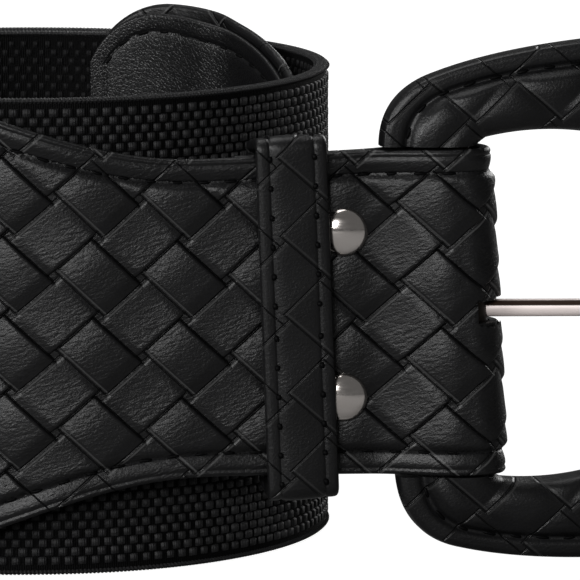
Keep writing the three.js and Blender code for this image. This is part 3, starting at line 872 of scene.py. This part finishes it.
def woven_blocks(half_width, half_height, base, relief):
    """Rows of rounded yarn blocks, each row half a block past the one below."""
    shares = np.array([-1, -0.7, 0.7, 1])
    across, up = np.meshgrid(shares, shares, indexing="ij")
    dome = np.where((np.abs(across) < 1) & (np.abs(up) < 1), 1.0, 0.0)
    cells = grid_faces(4, 4)[:, :: -1 if relief > 0 else 1]
    blocks = Shape()
    rows = int((ELASTIC_WIDTH - 2 * SELVEDGE_WIDTH) / BLOCK_ROW)
    lowest = -(rows - 1) / 2 * BLOCK_ROW
    columns = np.arange(ELASTIC_START + SEAM_OVERLAP - 3, ELASTIC_END, BLOCK_PITCH)
    for row in range(rows):
        start = columns + (row % 2) * BLOCK_PITCH / 2
        size = random.uniform(0.92, 1.05, (len(start), 1, 1))
        shift = random.uniform(-0.05, 0.05, (len(start), 1, 1))
        path = start[:, None, None] + shift + across * half_width * size
        rise = lowest + row * BLOCK_ROW + up * half_height * size
        points = elastic_surface(path, rise, base + relief * dome * size)
        many = np.arange(len(start))[:, None, None] * across.size
        blocks.add(points, (cells[None] + many).reshape(-1, 4), np.stack([path, rise], -1))
    return blocks


def elastic_band():
    """The webbing's body, its raised outer weave, its inner ribs and its rolled edges."""
    body = Shape()
    half = ELASTIC_WIDTH / 2
    lengths = np.linspace(ELASTIC_START, ELASTIC_END, 300)
    heights = np.linspace(-half + 0.6, half - 0.6, 8)
    paths, rises = np.meshgrid(lengths, heights, indexing="ij")
    flats = np.stack([paths, rises], -1)
    core = ELASTIC_THICKNESS / 2 - 0.4
    body.add_doubled(
        elastic_surface(paths, rises, core), elastic_surface(paths, rises, -core), flats)
    build("elastic_core", body, GROUND, "belt", ["elastic_band"])

    build("elastic_weave", woven_blocks(0.7, 0.68, core - 0.1, 0.5), WEBBING, "belt",
          sharp=180)
    build("elastic_ribs", woven_blocks(0.5, 0.62, 0.1 - core, -0.32), INNER, "belt",
          sharp=180)

    def ridged(side):
        return lambda angles: 1 + RIDGE_SWELL * np.sin(phase[:, None] + 2 * side * np.sin(angles))

    edges = Shape()
    lengths = np.arange(ELASTIC_START + 0.5, ELASTIC_END - 0.5, RIDGE_PITCH / 3)
    phase = 2 * np.pi * lengths / RIDGE_PITCH
    for side in (-1, 1):
        centre = side * (half - SELVEDGE_WIDTH / 2)
        centres = elastic_surface(lengths, centre, 0)
        radii = np.full(len(lengths), ELASTIC_THICKNESS / 2)
        edges.add_tube(centres, radii, SELVEDGE_WIDTH / ELASTIC_THICKNESS, 8, ridged(side))
    build("elastic_selvedges", edges, WEBBING, "belt")


elastic_band()


# Leather ends


def face_finish(distance):
    """Outer face of a turned and stitched leather: rim, band, groove, then the field."""
    flat = LEATHER_THICKNESS / 2 - WEAVE_SINK
    band = 0.28 * ease(1 - (distance - 1.6) / 2.0)
    turned_edge = 0.16 * np.exp(-(((distance - 1.05) / 0.25) ** 2))
    seam = groove(distance, STITCH_INSET)
    return flat + band - rounding(distance, 0.7) - turned_edge - seam


def buckle_tab():
    strip = Strip(-FOLD_ARC - FOLD_BACK_LENGTH, BUCKLE_TAB_LENGTH, folded_half_width,
                  folded_middle, folded_point, (True, True), face_finish)
    slot_start = -FOLD_RADIUS * (math.pi / 2 - SLOT_FRONT_ANGLE)
    slot_end = -FOLD_ARC - SLOT_BACK_LENGTH
    stations = joined(
        np.linspace(strip.start, slot_end, 40),
        np.linspace(slot_end, slot_start, 40),
        np.linspace(slot_start, strip.end - TAB_CORNER_RADIUS, 120),
        corner_stations(strip.end, TAB_CORNER_RADIUS, 26, -1),
        strip.end - EDGE_STEPS,
        strip.start + EDGE_STEPS[:6],
    )
    outer, inner, flats = strip_sheets(strip, stations, LEATHER_THICKNESS, SLOT_HEIGHT / 2, 18)
    middle = (flats[:-1, :-1] + flats[1:, 1:]) / 2
    rise = middle[..., 1] - strip.middle(middle[..., 0])
    open_slot = (middle[..., 0] > slot_end) & (middle[..., 0] < slot_start)
    open_slot &= np.abs(rise) < SLOT_HEIGHT / 2
    shape = Shape()
    shape.add_doubled(outer, inner, flats, ~open_slot)
    build("buckle_tab_leather", shape, LEATHER, "belt", ["buckle_tab"])

    def holes(path, height):
        near = np.abs(height - strip.middle(path)) < SLOT_HEIGHT / 2 + 0.1
        return near & (path < slot_start + 0.1) & (path > slot_end)

    tiles = Shape()
    front = Strip(-FOLD_ARC - 4, strip.end, strip.half_width, strip.middle, strip.surface,
                  (False, True), face_finish)
    add_weave(tiles, front, (-FOLD_ARC - 4, 0), (strip.end, TAB_WIDE_WIDTH), 15, holes)
    build("buckle_tab_weave", tiles, LEATHER, "belt")

    threads = Shape()
    line = strip.outline(stations[stations > 1.5], STITCH_INSET)
    stitch_surface(threads, line, strip.surface, LEATHER_THICKNESS / 2 - WEAVE_SINK - STITCH_SINK)
    build("buckle_tab_stitches", threads, THREAD, "belt")


def buckle_tab_lining():
    start = FOLD_BACK_LENGTH + CLEARANCE
    end = BUCKLE_TAB_LENGTH - LINING_INSET

    def half_width(path):
        return tab_half_width(end - path, LINING_INSET)

    def surface(path, height, outwards):
        layer = layer_beside(path - ELASTIC_START, COVERED_LINING, BARE_LINING)
        return leaning_point(path, height, layer - outwards, buckle_tab_middle(path))

    def finish(distance):
        return LINING_THICKNESS / 2 - rounding(distance, 0.4) - 0.6 * groove(distance, 2.6)

    strip = Strip(start, end, half_width, buckle_tab_middle, surface, (True, True), finish)
    stations = joined(
        np.linspace(start, end - TAB_CORNER_RADIUS, 70),
        corner_stations(end, TAB_CORNER_RADIUS, 24, -1),
        end - EDGE_STEPS,
    )
    shape = Shape()
    shape.add_doubled(*strip_sheets(strip, stations, LINING_THICKNESS, 1.0, 12))
    build("buckle_tab_lining_leather", shape, LINING, "belt",
          ["buckle_tab_lining"])
    threads = Shape()
    line = strip.outline(stations, STITCH_INSET - LINING_INSET)
    stitch_surface(threads, line, surface, LINING_THICKNESS / 2 - 0.1)
    build("buckle_tab_lining_stitches", threads, THREAD, "belt")


buckle_tab()
buckle_tab_lining()


HOLE_SIDES = 32
HOLE_CUT_REACH = 4.0


def punch(piece, lengths):
    """Cuts the round belt holes through a finished piece."""
    cutters = Shape()
    angles = np.linspace(0, 2 * np.pi, HOLE_SIDES, endpoint=False)
    walls = grid_faces(2, HOLE_SIDES, wrap_columns=True)[:, ::-1]
    start = np.arange(HOLE_SIDES)[None, :]
    for length in lengths:
        spot = belt_point(length, TAB_MIDDLE, 0)
        outwards = belt_point(length, TAB_MIDDLE, 1) - spot
        ahead = np.cross((0, 0, 1), outwards)
        circle = spot + HOLE_DIAMETER / 2 * (
            np.cos(angles)[:, None] * ahead + np.sin(angles)[:, None] * np.array([0, 0, 1]))
        rings = [circle + outwards * out for out in (-HOLE_CUT_REACH, HOLE_CUT_REACH)]
        cutters.add(np.array(rings), [walls, start, start[:, ::-1] + HOLE_SIDES])
    cutter = build("punch", cutters, THREAD, "belt")
    cut = piece.modifiers.new("punch", "BOOLEAN")
    cut.operation = "DIFFERENCE"
    cut.solver = "EXACT"
    cut.object = cutter
    bpy.context.view_layer.update()
    result = bpy.data.meshes.new_from_object(
        piece.evaluated_get(bpy.context.evaluated_depsgraph_get()))
    piece.modifiers.clear()
    piece.data = result
    bpy.data.objects.remove(cutter)


def tip_tab():
    def on_layer(covered, bare, sign):
        def surface(path, height, outwards):
            layer = layer_beside(ELASTIC_END - path, covered, bare)
            return belt_point(path, height, layer + sign * outwards)
        return surface

    def half_of(start, inset):
        return lambda path: tip_half_width(path - start, inset)

    def lining_finish(distance):
        return LINING_THICKNESS / 2 - rounding(distance, 0.42) - 0.7 * groove(distance, 3.0)

    holes = TIP_TAB_START + TIP_TAB_LENGTH - HOLE_FROM_TIP - HOLE_PITCH * np.arange(HOLE_COUNT)
    layers = (
        ("tip_tab_leather", "tip_tab", 0, LEATHER_THICKNESS, COVERED_OUTER, FRONT_LAYER, 1,
         face_finish, LEATHER, "woven_leather", STITCH_INSET),
        ("tip_tab_lining_leather", "tip_tab_lining", LINING_INSET, LINING_THICKNESS,
         COVERED_LINING, BARE_LINING, -1, lining_finish, LINING, "lining_leather", 3.0),
    )
    for name, node, inset, thickness, covered, bare, sign, finish, material, slot, seam in layers:
        start = TIP_TAB_START + inset
        end = TIP_TAB_START + TIP_TAB_LENGTH - inset
        surface = on_layer(covered, bare, sign)
        strip = Strip(start, end, half_of(start, inset), level_middle, surface,
                      (True, False), finish)
        tip = end - TONGUE_TIP_LENGTH + TONGUE_TIP_LENGTH * np.sin(
            np.linspace(0, np.pi / 2, 30))
        stations = joined(
            corner_stations(start, TAB_CORNER_RADIUS, 26, 1),
            start + EDGE_STEPS,
            np.linspace(start + TAB_CORNER_RADIUS, end - TONGUE_TIP_LENGTH, 110),
            tip,
        )
        shape = Shape()
        shape.add_doubled(*strip_sheets(strip, stations, thickness, 1.0, 6))
        piece = build(name, shape, material, "belt", [node])
        punch(piece, holes)
        threads = Shape()
        line = strip.outline(stations[stations < end - 1], seam)[::-1]
        lift = -0.12 - (WEAVE_SINK if sign > 0 else 0)
        stitch_surface(threads, line, surface, thickness / 2 + lift)
        build(name + "_stitches", threads, THREAD, "belt")


tip_tab()

# Keeper loop and rivets


def about_z(angle):
    return np.array([[math.cos(angle), -math.sin(angle), 0],
                     [math.sin(angle), math.cos(angle), 0],
                     [0, 0, 1]])


def about_y(angle):
    return np.array([[math.cos(angle), 0, math.sin(angle)],
                     [0, 1, 0],
                     [-math.sin(angle), 0, math.cos(angle)]])


def outward_frame(length, height):
    """Directions whose last one points out of the belt, and the place on its middle."""
    origin = belt_point(length, height, 0)
    outwards = belt_point(length, height, 1) - origin
    up = np.array([0, 0, 1.0])
    return np.stack([np.cross(up, outwards), up, outwards], -1), origin


def rounded_rectangle(left, right, bottom, top, radius, step):
    """Points round a rectangle, anticlockwise from the middle of its right side."""
    corners = [(right - radius, top - radius, 0), (left + radius, top - radius, 1),
               (left + radius, bottom + radius, 2), (right - radius, bottom + radius, 3)]
    points = [np.array([[right, (bottom + top) / 2]])]
    for x, y, quarter in corners:
        angles = np.linspace(quarter, quarter + 1, 9) * np.pi / 2
        points.append(np.stack([x + radius * np.cos(angles), y + radius * np.sin(angles)], -1))
    points.append(points[0])
    line = np.concatenate(points)
    gaps = np.linalg.norm(np.diff(line, axis=0), axis=1)
    line = line[np.concatenate([[True], gaps > 1e-6])]
    run = np.concatenate([[0], np.cumsum(np.linalg.norm(np.diff(line, axis=0), axis=1))])
    marks = np.linspace(0, run[-1], int(run[-1] / step), endpoint=False)
    return np.stack([np.interp(marks, run, line[:, k]) for k in (0, 1)], -1)


def keeper_loop():
    matrix, origin = outward_frame(KEEPER_PLACE + KEEPER_SHIFT, buckle_tab_middle(KEEPER_PLACE))
    lean = BUCKLE_TILT * (1 - ease(KEEPER_PLACE / (STRAP_LENGTH + FLARE_LENGTH / 2)))
    turn = matrix @ about_z(lean)
    front = FRONT_LAYER + LEATHER_THICKNESS / 2 + KEEPER_RISE
    back = -FRONT_LAYER - LEATHER_THICKNESS / 2 - RIVET_WASHER_THICKNESS - 2 * CLEARANCE
    wall = KEEPER_THICKNESS
    half = KEEPER_HEIGHT / 2
    outline = rounded_rectangle(back - wall, front + wall, -half, half, 1.4 * wall, 0.55)
    behind = (front + wall - outline[:, 0]) / (front - back + 2 * wall)
    outline[:, 1] *= 1 - KEEPER_TAPER * behind
    ahead = np.roll(outline, -1, 0) - np.roll(outline, 1, 0)
    ahead /= np.linalg.norm(ahead, axis=1)[:, None]
    normal = np.stack([ahead[:, 1], -ahead[:, 0]], -1)
    edge = np.array(
        [0, 0.1, 0.25, 0.5, 0.9, 1.3, 1.6, 1.8, 1.9, 2.0, 2.1, 2.2, 2.3, 2.45, 2.7, 3.1, 3.6, 4.4])
    across = np.concatenate([edge, [KEEPER_WIDTH / 2], KEEPER_WIDTH - edge[::-1]])
    across = across - KEEPER_WIDTH / 2
    distance = KEEPER_WIDTH / 2 - np.abs(across)
    seam = KEEPER_SEAM_INSET

    def crown(place):
        return KEEPER_CROWN * (1 - (2 * place / KEEPER_WIDTH) ** 2)

    def at(depth):
        spot = outline[:, None, :] + normal[:, None, :] * depth[..., None]
        local = np.stack(
            [-across[None, :] + 0 * spot[..., 0], spot[..., 1], spot[..., 0]], -1)
        return local @ turn.T + origin

    flats = np.stack(np.broadcast_arrays(
        KEEPER_PLACE + across[None, :] + KEEPER_WEAVE_SHIFT[0],
        BAR_HEIGHT + KEEPER_WEAVE_SHIFT[1] + outline[:, 1:2]), -1)
    cells = (flats - WEAVE_ORIGIN) @ TO_CELL.T
    fold = KEEPER_FOLD_RELIEF * np.cos(np.pi * cells[..., 0]) * np.cos(np.pi * cells[..., 1])
    depth = crown(across) - rounding(distance, 0.7) - 0.65 * groove(distance, seam)
    depth = depth[None, :] - 0.2 + fold * ease((distance - seam) / 1.5)[None, :]
    inner = rounding(distance, 0.6) - wall + 0 * depth
    shape = Shape()
    shape.add_doubled(at(depth), at(inner), flats, wrap_rows=True)
    build("keeper_leather", shape, SMOOTH_LEATHER, "belt", ["keeper_loop"])
    threads = Shape()
    for side in (-1, 1):
        place_across = side * (KEEPER_WIDTH / 2 - seam)
        line = outline + (crown(place_across) - KEEPER_PIT_SINK) * normal
        spots, direction = along_line(np.concatenate([line, line[:1]]), KEEPER_PIT_PITCH)
        local = np.stack([np.full(len(spots), -place_across), spots[:, 1], spots[:, 0]], -1)
        aim = np.stack([np.zeros(len(spots)), direction[:, 1], direction[:, 0]], -1)
        out = np.stack([np.zeros(len(spots)), -direction[:, 0], direction[:, 1]], -1)
        add_stitches(threads, local @ turn.T + origin, aim @ turn.T, out @ turn.T,
                     length=KEEPER_PIT_LENGTH, radius=KEEPER_PIT_RADIUS)
    build("keeper_stitches", threads, THREAD, "belt")


keeper_loop()


def rivets():
    cap_base = FRONT_LAYER + LEATHER_THICKNESS / 2 - 0.1
    washer_top = -FRONT_LAYER - LEATHER_THICKNESS / 2 - CLEARANCE
    cap, post = RIVET_DIAMETER / 2, RIVET_POST_DIAMETER / 2
    washer = post + RIVET_DIAMETER / 4
    bottom = washer_top - RIVET_WASHER_THICKNESS
    profile = [(0.02, bottom), (washer - 0.25, bottom), (washer, bottom + 0.25),
               (washer, washer_top), (post, washer_top), (post, cap_base),
               (cap - 0.3, cap_base), (cap, cap_base + 0.2), (cap, cap_base + 0.45)]
    rim = cap_base + 0.45
    height = CLEARANCE + 0.1 + RIVET_DOME - 0.45
    for angle in np.linspace(0.08, 1, 16) * np.pi / 2:
        profile.append((max(cap * math.cos(angle), 0.02), rim + height * math.sin(angle)))
    for name, side in (("rivet_upper", 1), ("rivet_lower", -1)):
        spot = float(buckle_tab_middle(RIVET_PLACE)) + side * RIVET_SPACING / 2
        matrix, origin = outward_frame(RIVET_PLACE, spot)
        shape = Shape()
        shape.add_lathe(profile, 56, matrix, origin)
        build(name + "_dome", shape, NICKEL, "belt", [name], sharp=40)


rivets()

# Buckle

BUCKLE_TURN = about_z(STRAP_ANGLE) @ about_y(-BUCKLE_TILT)
BUCKLE_ORIGIN = belt_point(0, BAR_HEIGHT, 0)


def buckle_point(local):
    return local @ BUCKLE_TURN.T + BUCKLE_ORIGIN


HALF_FRAME = FRAME_HEIGHT / 2
FAR_REACH = FRAME_WIDTH - FRAME_BACK_REACH
INNER_FAR_REACH = FAR_REACH - FRAME_FAR_WIDTH
END_RISE = (FOLD_WIDTH / 2 + END_GAP_SHARE * FRAME_END_GAP) / math.cos(BUCKLE_TILT)


def bezier(points, share):
    points = [np.asarray(p, float)[None, :] * np.ones((len(share), 1)) for p in points]
    share = share[:, None]
    while len(points) > 1:
        points = [a * (1 - share) + b * share for a, b in zip(points, points[1:])]
    return points[0]


def frame_sides(side, counts):
    """Outer and inner edge of the frame's half, from the arm's end to the far arm's middle."""
    def outer(share):
        return (share[0] * FAR_REACH, side * share[1] * HALF_FRAME)

    def inner(share):
        return (share[0] * INNER_FAR_REACH, side * share[1] * HALF_FRAME)

    def end(across):
        return (across, side * END_RISE - across * STRAP_TILT)

    back = (-0.24 * FRAME_BACK_REACH, side * 0.91 * HALF_FRAME)
    bend = (-0.96 * FRAME_BACK_REACH, side * 0.852 * HALF_FRAME)
    outer_runs = [
        [end(-FRAME_BACK_REACH), bend, back],
        [back, outer((0.157, 1)), outer((0.5, 1))],
        [outer((0.5, 1)), outer((0.83, 0.995)), outer((1, 0.62)), (FAR_REACH, 0)],
    ]
    inner_runs = [
        [end(FRAME_FRONT_REACH), inner((0.09, 0.653))],
        [inner((0.09, 0.653)), inner((0.26, 0.684)), inner((0.43, 0.647))],
        [inner((0.43, 0.647)), inner((0.78, 0.595)), inner((1, 0.36)), (INNER_FAR_REACH, 0)],
    ]
    lines = []
    for runs in (outer_runs, inner_runs):
        stretches = []
        for k, (run, count) in enumerate(zip(runs, counts)):
            share = np.linspace(0, 1, count + 1)
            stretches.append(bezier(run, share if k == 0 else share[1:]))
        lines.append(np.concatenate(stretches))
    return lines


# Half thickness across the frame, from its inner edge to its outer flange, as shares
SECTION_ACROSS = [0, 0.025, 0.06, 0.12, 0.2, 0.38, 0.54, 0.64,
                  0.69, 0.725, 0.76, 0.8, 0.88, 0.95, 0.985, 1]
SECTION_THICK = [0.22, 0.55, 0.73, 0.88, 0.97, 1, 0.94, 0.82,
                 0.66, 0.5, 0.5, 0.58, 0.6, 0.55, 0.44, 0.24]


def smooth_curve(places, values, at):
    """Curve through the values, with slopes taken from their neighbours."""
    places, values = np.asarray(places, float), np.asarray(values, float)
    slopes = np.gradient(values, places)
    k = np.clip(np.searchsorted(places, at) - 1, 0, len(places) - 2)
    width = places[k + 1] - places[k]
    t = (at - places[k]) / width
    a = values[k] * (1 + 2 * t) * (1 - t) ** 2 + slopes[k] * width * t * (1 - t) ** 2
    return a + values[k + 1] * t * t * (3 - 2 * t) + slopes[k + 1] * width * t * t * (t - 1)


def buckle_frame():
    counts = (30, 60, 150)
    upper = frame_sides(1, counts)
    lower = frame_sides(-1, counts)
    outer, inner = (np.concatenate([a, b[::-1][1:]]) for a, b in zip(upper, lower))
    shares = np.concatenate([np.array([0, 0.008, 0.018, 0.03, 0.045]), np.linspace(0.065, 0.64, 26),
                             np.linspace(0.655, 0.95, 20), [0.965, 0.98, 0.99, 1.0]])
    thick = smooth_curve(SECTION_ACROSS, SECTION_THICK, shares) * FRAME_THICKNESS / 2
    spot = inner[:, None, :] + (outer - inner)[:, None, :] * shares[None, :, None]
    drift = FRAME_WEAVE_DRIFT * (spot[..., 1] - FRAME_WEAVE_MIDDLE)
    flats = np.stack([FRAME_WEAVE_PLACE[0] - spot[..., 0] + drift,
                      FRAME_WEAVE_PLACE[1] + spot[..., 1]], -1)
    cells = (flats - WEAVE_ORIGIN) @ TO_CELL.T
    field = ease(shares / 0.1) * ease((0.68 - shares) / 0.08)
    part = np.abs(2 * (cells - np.floor(cells)) - 1)
    pads = (1 - part[..., 0] ** 3) * (1 - part[..., 1] ** 3)
    relief = FRAME_PAD_RELIEF * pads - FRAME_PAD_SINK
    depth = thick[None, :] + relief * field[None, :]
    front = buckle_point(np.stack([spot[..., 0], -depth, spot[..., 1]], -1))
    back = buckle_point(np.stack([spot[..., 0], depth, spot[..., 1]], -1))
    shape = Shape()
    shape.add_doubled(front, back, flats)
    piece = build("buckle_frame_leather", shape, SMOOTH_LEATHER, "buckle",
                  ["buckle_frame"])
    threads = Shape()
    seam = FRAME_SEAM_SHARE
    level = float(smooth_curve(SECTION_ACROSS, SECTION_THICK, np.array([seam]))[0])
    spots, direction = along_line(inner + (outer - inner) * seam, STITCH_PITCH)
    for side in (-1, 1):
        out = side * (level * FRAME_THICKNESS / 2 + 0.1)
        local = np.stack([spots[:, 0], np.full(len(spots), out), spots[:, 1]], -1)
        aim = np.stack([direction[:, 0], np.zeros(len(spots)), direction[:, 1]], -1)
        facing = np.tile([0.0, float(side), 0.0], (len(spots), 1))
        add_stitches(threads, buckle_point(local), aim @ BUCKLE_TURN.T, facing @ BUCKLE_TURN.T)
    build("buckle_frame_stitches", threads, THREAD, "buckle")


def prong():
    eye_inner = BAR_DIAMETER / 2 + CLEARANCE
    eye_outer = eye_inner + EYE_WALL
    wire = PRONG_DIAMETER / 2
    reach = INNER_FAR_REACH + PRONG_OVERHANG
    forwards = FRAME_THICKNESS / 2 + CLEARANCE + wire
    half = EYE_HEIGHT / 2
    eye = [(eye_inner, -half + 0.2), (eye_inner + 0.2, -half), (eye_outer - 0.35, -half),
           (eye_outer, -half + 0.35), (eye_outer, half - 0.35), (eye_outer - 0.35, half),
           (eye_inner + 0.2, half), (eye_inner, half - 0.2), (eye_inner, -half + 0.2)]
    shape = Shape()
    shape.add_lathe(eye, 48, BUCKLE_TURN, BUCKLE_ORIGIN)
    # The eye gets the dark nickel, as painted shade.
    build("prong_eye", shape, PAINTED_SHADE_NICKEL, "prong", ["prong"], sharp=40)
    shape = Shape()
    start = np.array([eye_inner + EYE_WALL / 2, 0, 0])
    end = np.array([reach, -forwards * reach / INNER_FAR_REACH, -reach * STRAP_TILT])
    span = np.linalg.norm(end - start)
    stops = np.concatenate([np.linspace(0, span - wire, 30),
                            span - wire + wire * np.sin(np.linspace(0.1, 0.98, 9) * np.pi / 2)])
    past = np.maximum(stops - (span - wire), 0)
    radii = np.sqrt(np.maximum(wire**2 - past**2, 0.0004))
    centres = start + (end - start) * (stops / span)[:, None]
    shape.add_tube(buckle_point(centres), radii, 1.0, 28)
    # The wire's material carries a painted reflection, a dark line along its upper flank.
    build("prong_wire", shape, NICKEL_WITH_PAINTED_REFLECTION, "prong", ["prong"], sharp=40)


buckle_frame()
prong()
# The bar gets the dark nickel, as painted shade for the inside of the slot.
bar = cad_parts["buckle_bar"]
bar.data.materials.clear()
bar.data.materials.append(PAINTED_SHADE_NICKEL)

# Floor, light and camera

FLOOR_GLOW = 0.95
FLOOR_REACH = 6.0
FLOOR_DROP = 0.0001
SKY_LIGHT = 0.1
bpy.context.scene.view_settings.view_transform = "Standard"


def stage_floor():
    graph = Graph("pale_floor")
    cloud = graph.noise(graph.room(), 3.0, 2.0)
    colour = graph.colours(cloud, (0.22, 0.22, 0.22), (0.25, 0.25, 0.25))
    graph.shader.inputs["Emission Color"].default_value = (1, 1, 1, 1)
    path = graph.nodes.new("ShaderNodeLightPath").outputs["Is Camera Ray"]
    graph.feed(graph.shader.inputs["Emission Strength"], graph.math("MULTIPLY", path, FLOOR_GLOW))
    graph.shader.inputs["Specular IOR Level"].default_value = 0.0
    material = graph.finish(colour, 1.0, None)
    mesh = bpy.data.meshes.new("floor")
    corners = [(-1, -1), (1, -1), (1, 1), (-1, 1)]
    mesh.from_pydata([(x * FLOOR_REACH, y * FLOOR_REACH, -FLOOR_DROP) for x, y in corners],
                     [], [(0, 1, 2, 3)])
    mesh.materials.append(material)
    floor = bpy.data.objects.new("floor", mesh)
    bpy.context.scene.collection.objects.link(floor)


def area_light(name, position, target, size, power):
    data = bpy.data.lights.new(name, "AREA")
    data.shape = "SQUARE"
    data.size = size
    data.energy = power
    light = bpy.data.objects.new(name, data)
    bpy.context.scene.collection.objects.link(light)
    light.location = position
    aim = Vector(target) - Vector(position)
    light.rotation_mode = "QUATERNION"
    light.rotation_quaternion = aim.to_track_quat("-Z", "Y")


def sky(strength):
    """White seen directly, dim as a light, so that the dark leather keeps its contrast."""
    world = bpy.data.worlds.new("studio")
    bpy.context.scene.world = world
    world.use_nodes = True
    nodes, links = world.node_tree.nodes, world.node_tree.links
    path = nodes.new("ShaderNodeLightPath")
    level = nodes.new("ShaderNodeMapRange")
    level.inputs["To Min"].default_value = strength
    level.inputs["To Max"].default_value = 1.0
    links.new(path.outputs["Is Camera Ray"], level.inputs["Value"])
    links.new(level.outputs[0], nodes["Background"].inputs[1])
    nodes["Background"].inputs[0].default_value = (1, 1, 1, 1)


stage_floor()
sky(SKY_LIGHT)
AIM = (0, -0.03, 0.04)
area_light("front", (-0.24, -1.25, 0.46), AIM, 0.3, 9)
area_light("left", (-1.1, -0.85, 0.46), AIM, 0.36, 11.5)
area_light("top", (-0.2, 0.15, 1.2), AIM, 0.8, 6)
area_light("back", (0.75, 1.15, 0.6), AIM, 0.8, 10)

CAMERA_PLACE = (0.003543, -1.14599, 0.2123)
CAMERA_PITCH = math.radians(8.644)
CAMERA_LENS = 444.8
camera_data = bpy.data.cameras.new("camera")
camera_data.lens = CAMERA_LENS
camera_data.sensor_width = 36
camera_data.clip_end = 30
camera = bpy.data.objects.new("camera", camera_data)
camera.location = CAMERA_PLACE
camera.rotation_euler = (math.pi / 2 - CAMERA_PITCH, 0, 0)
bpy.context.scene.collection.objects.link(camera)
bpy.context.scene.camera = camera
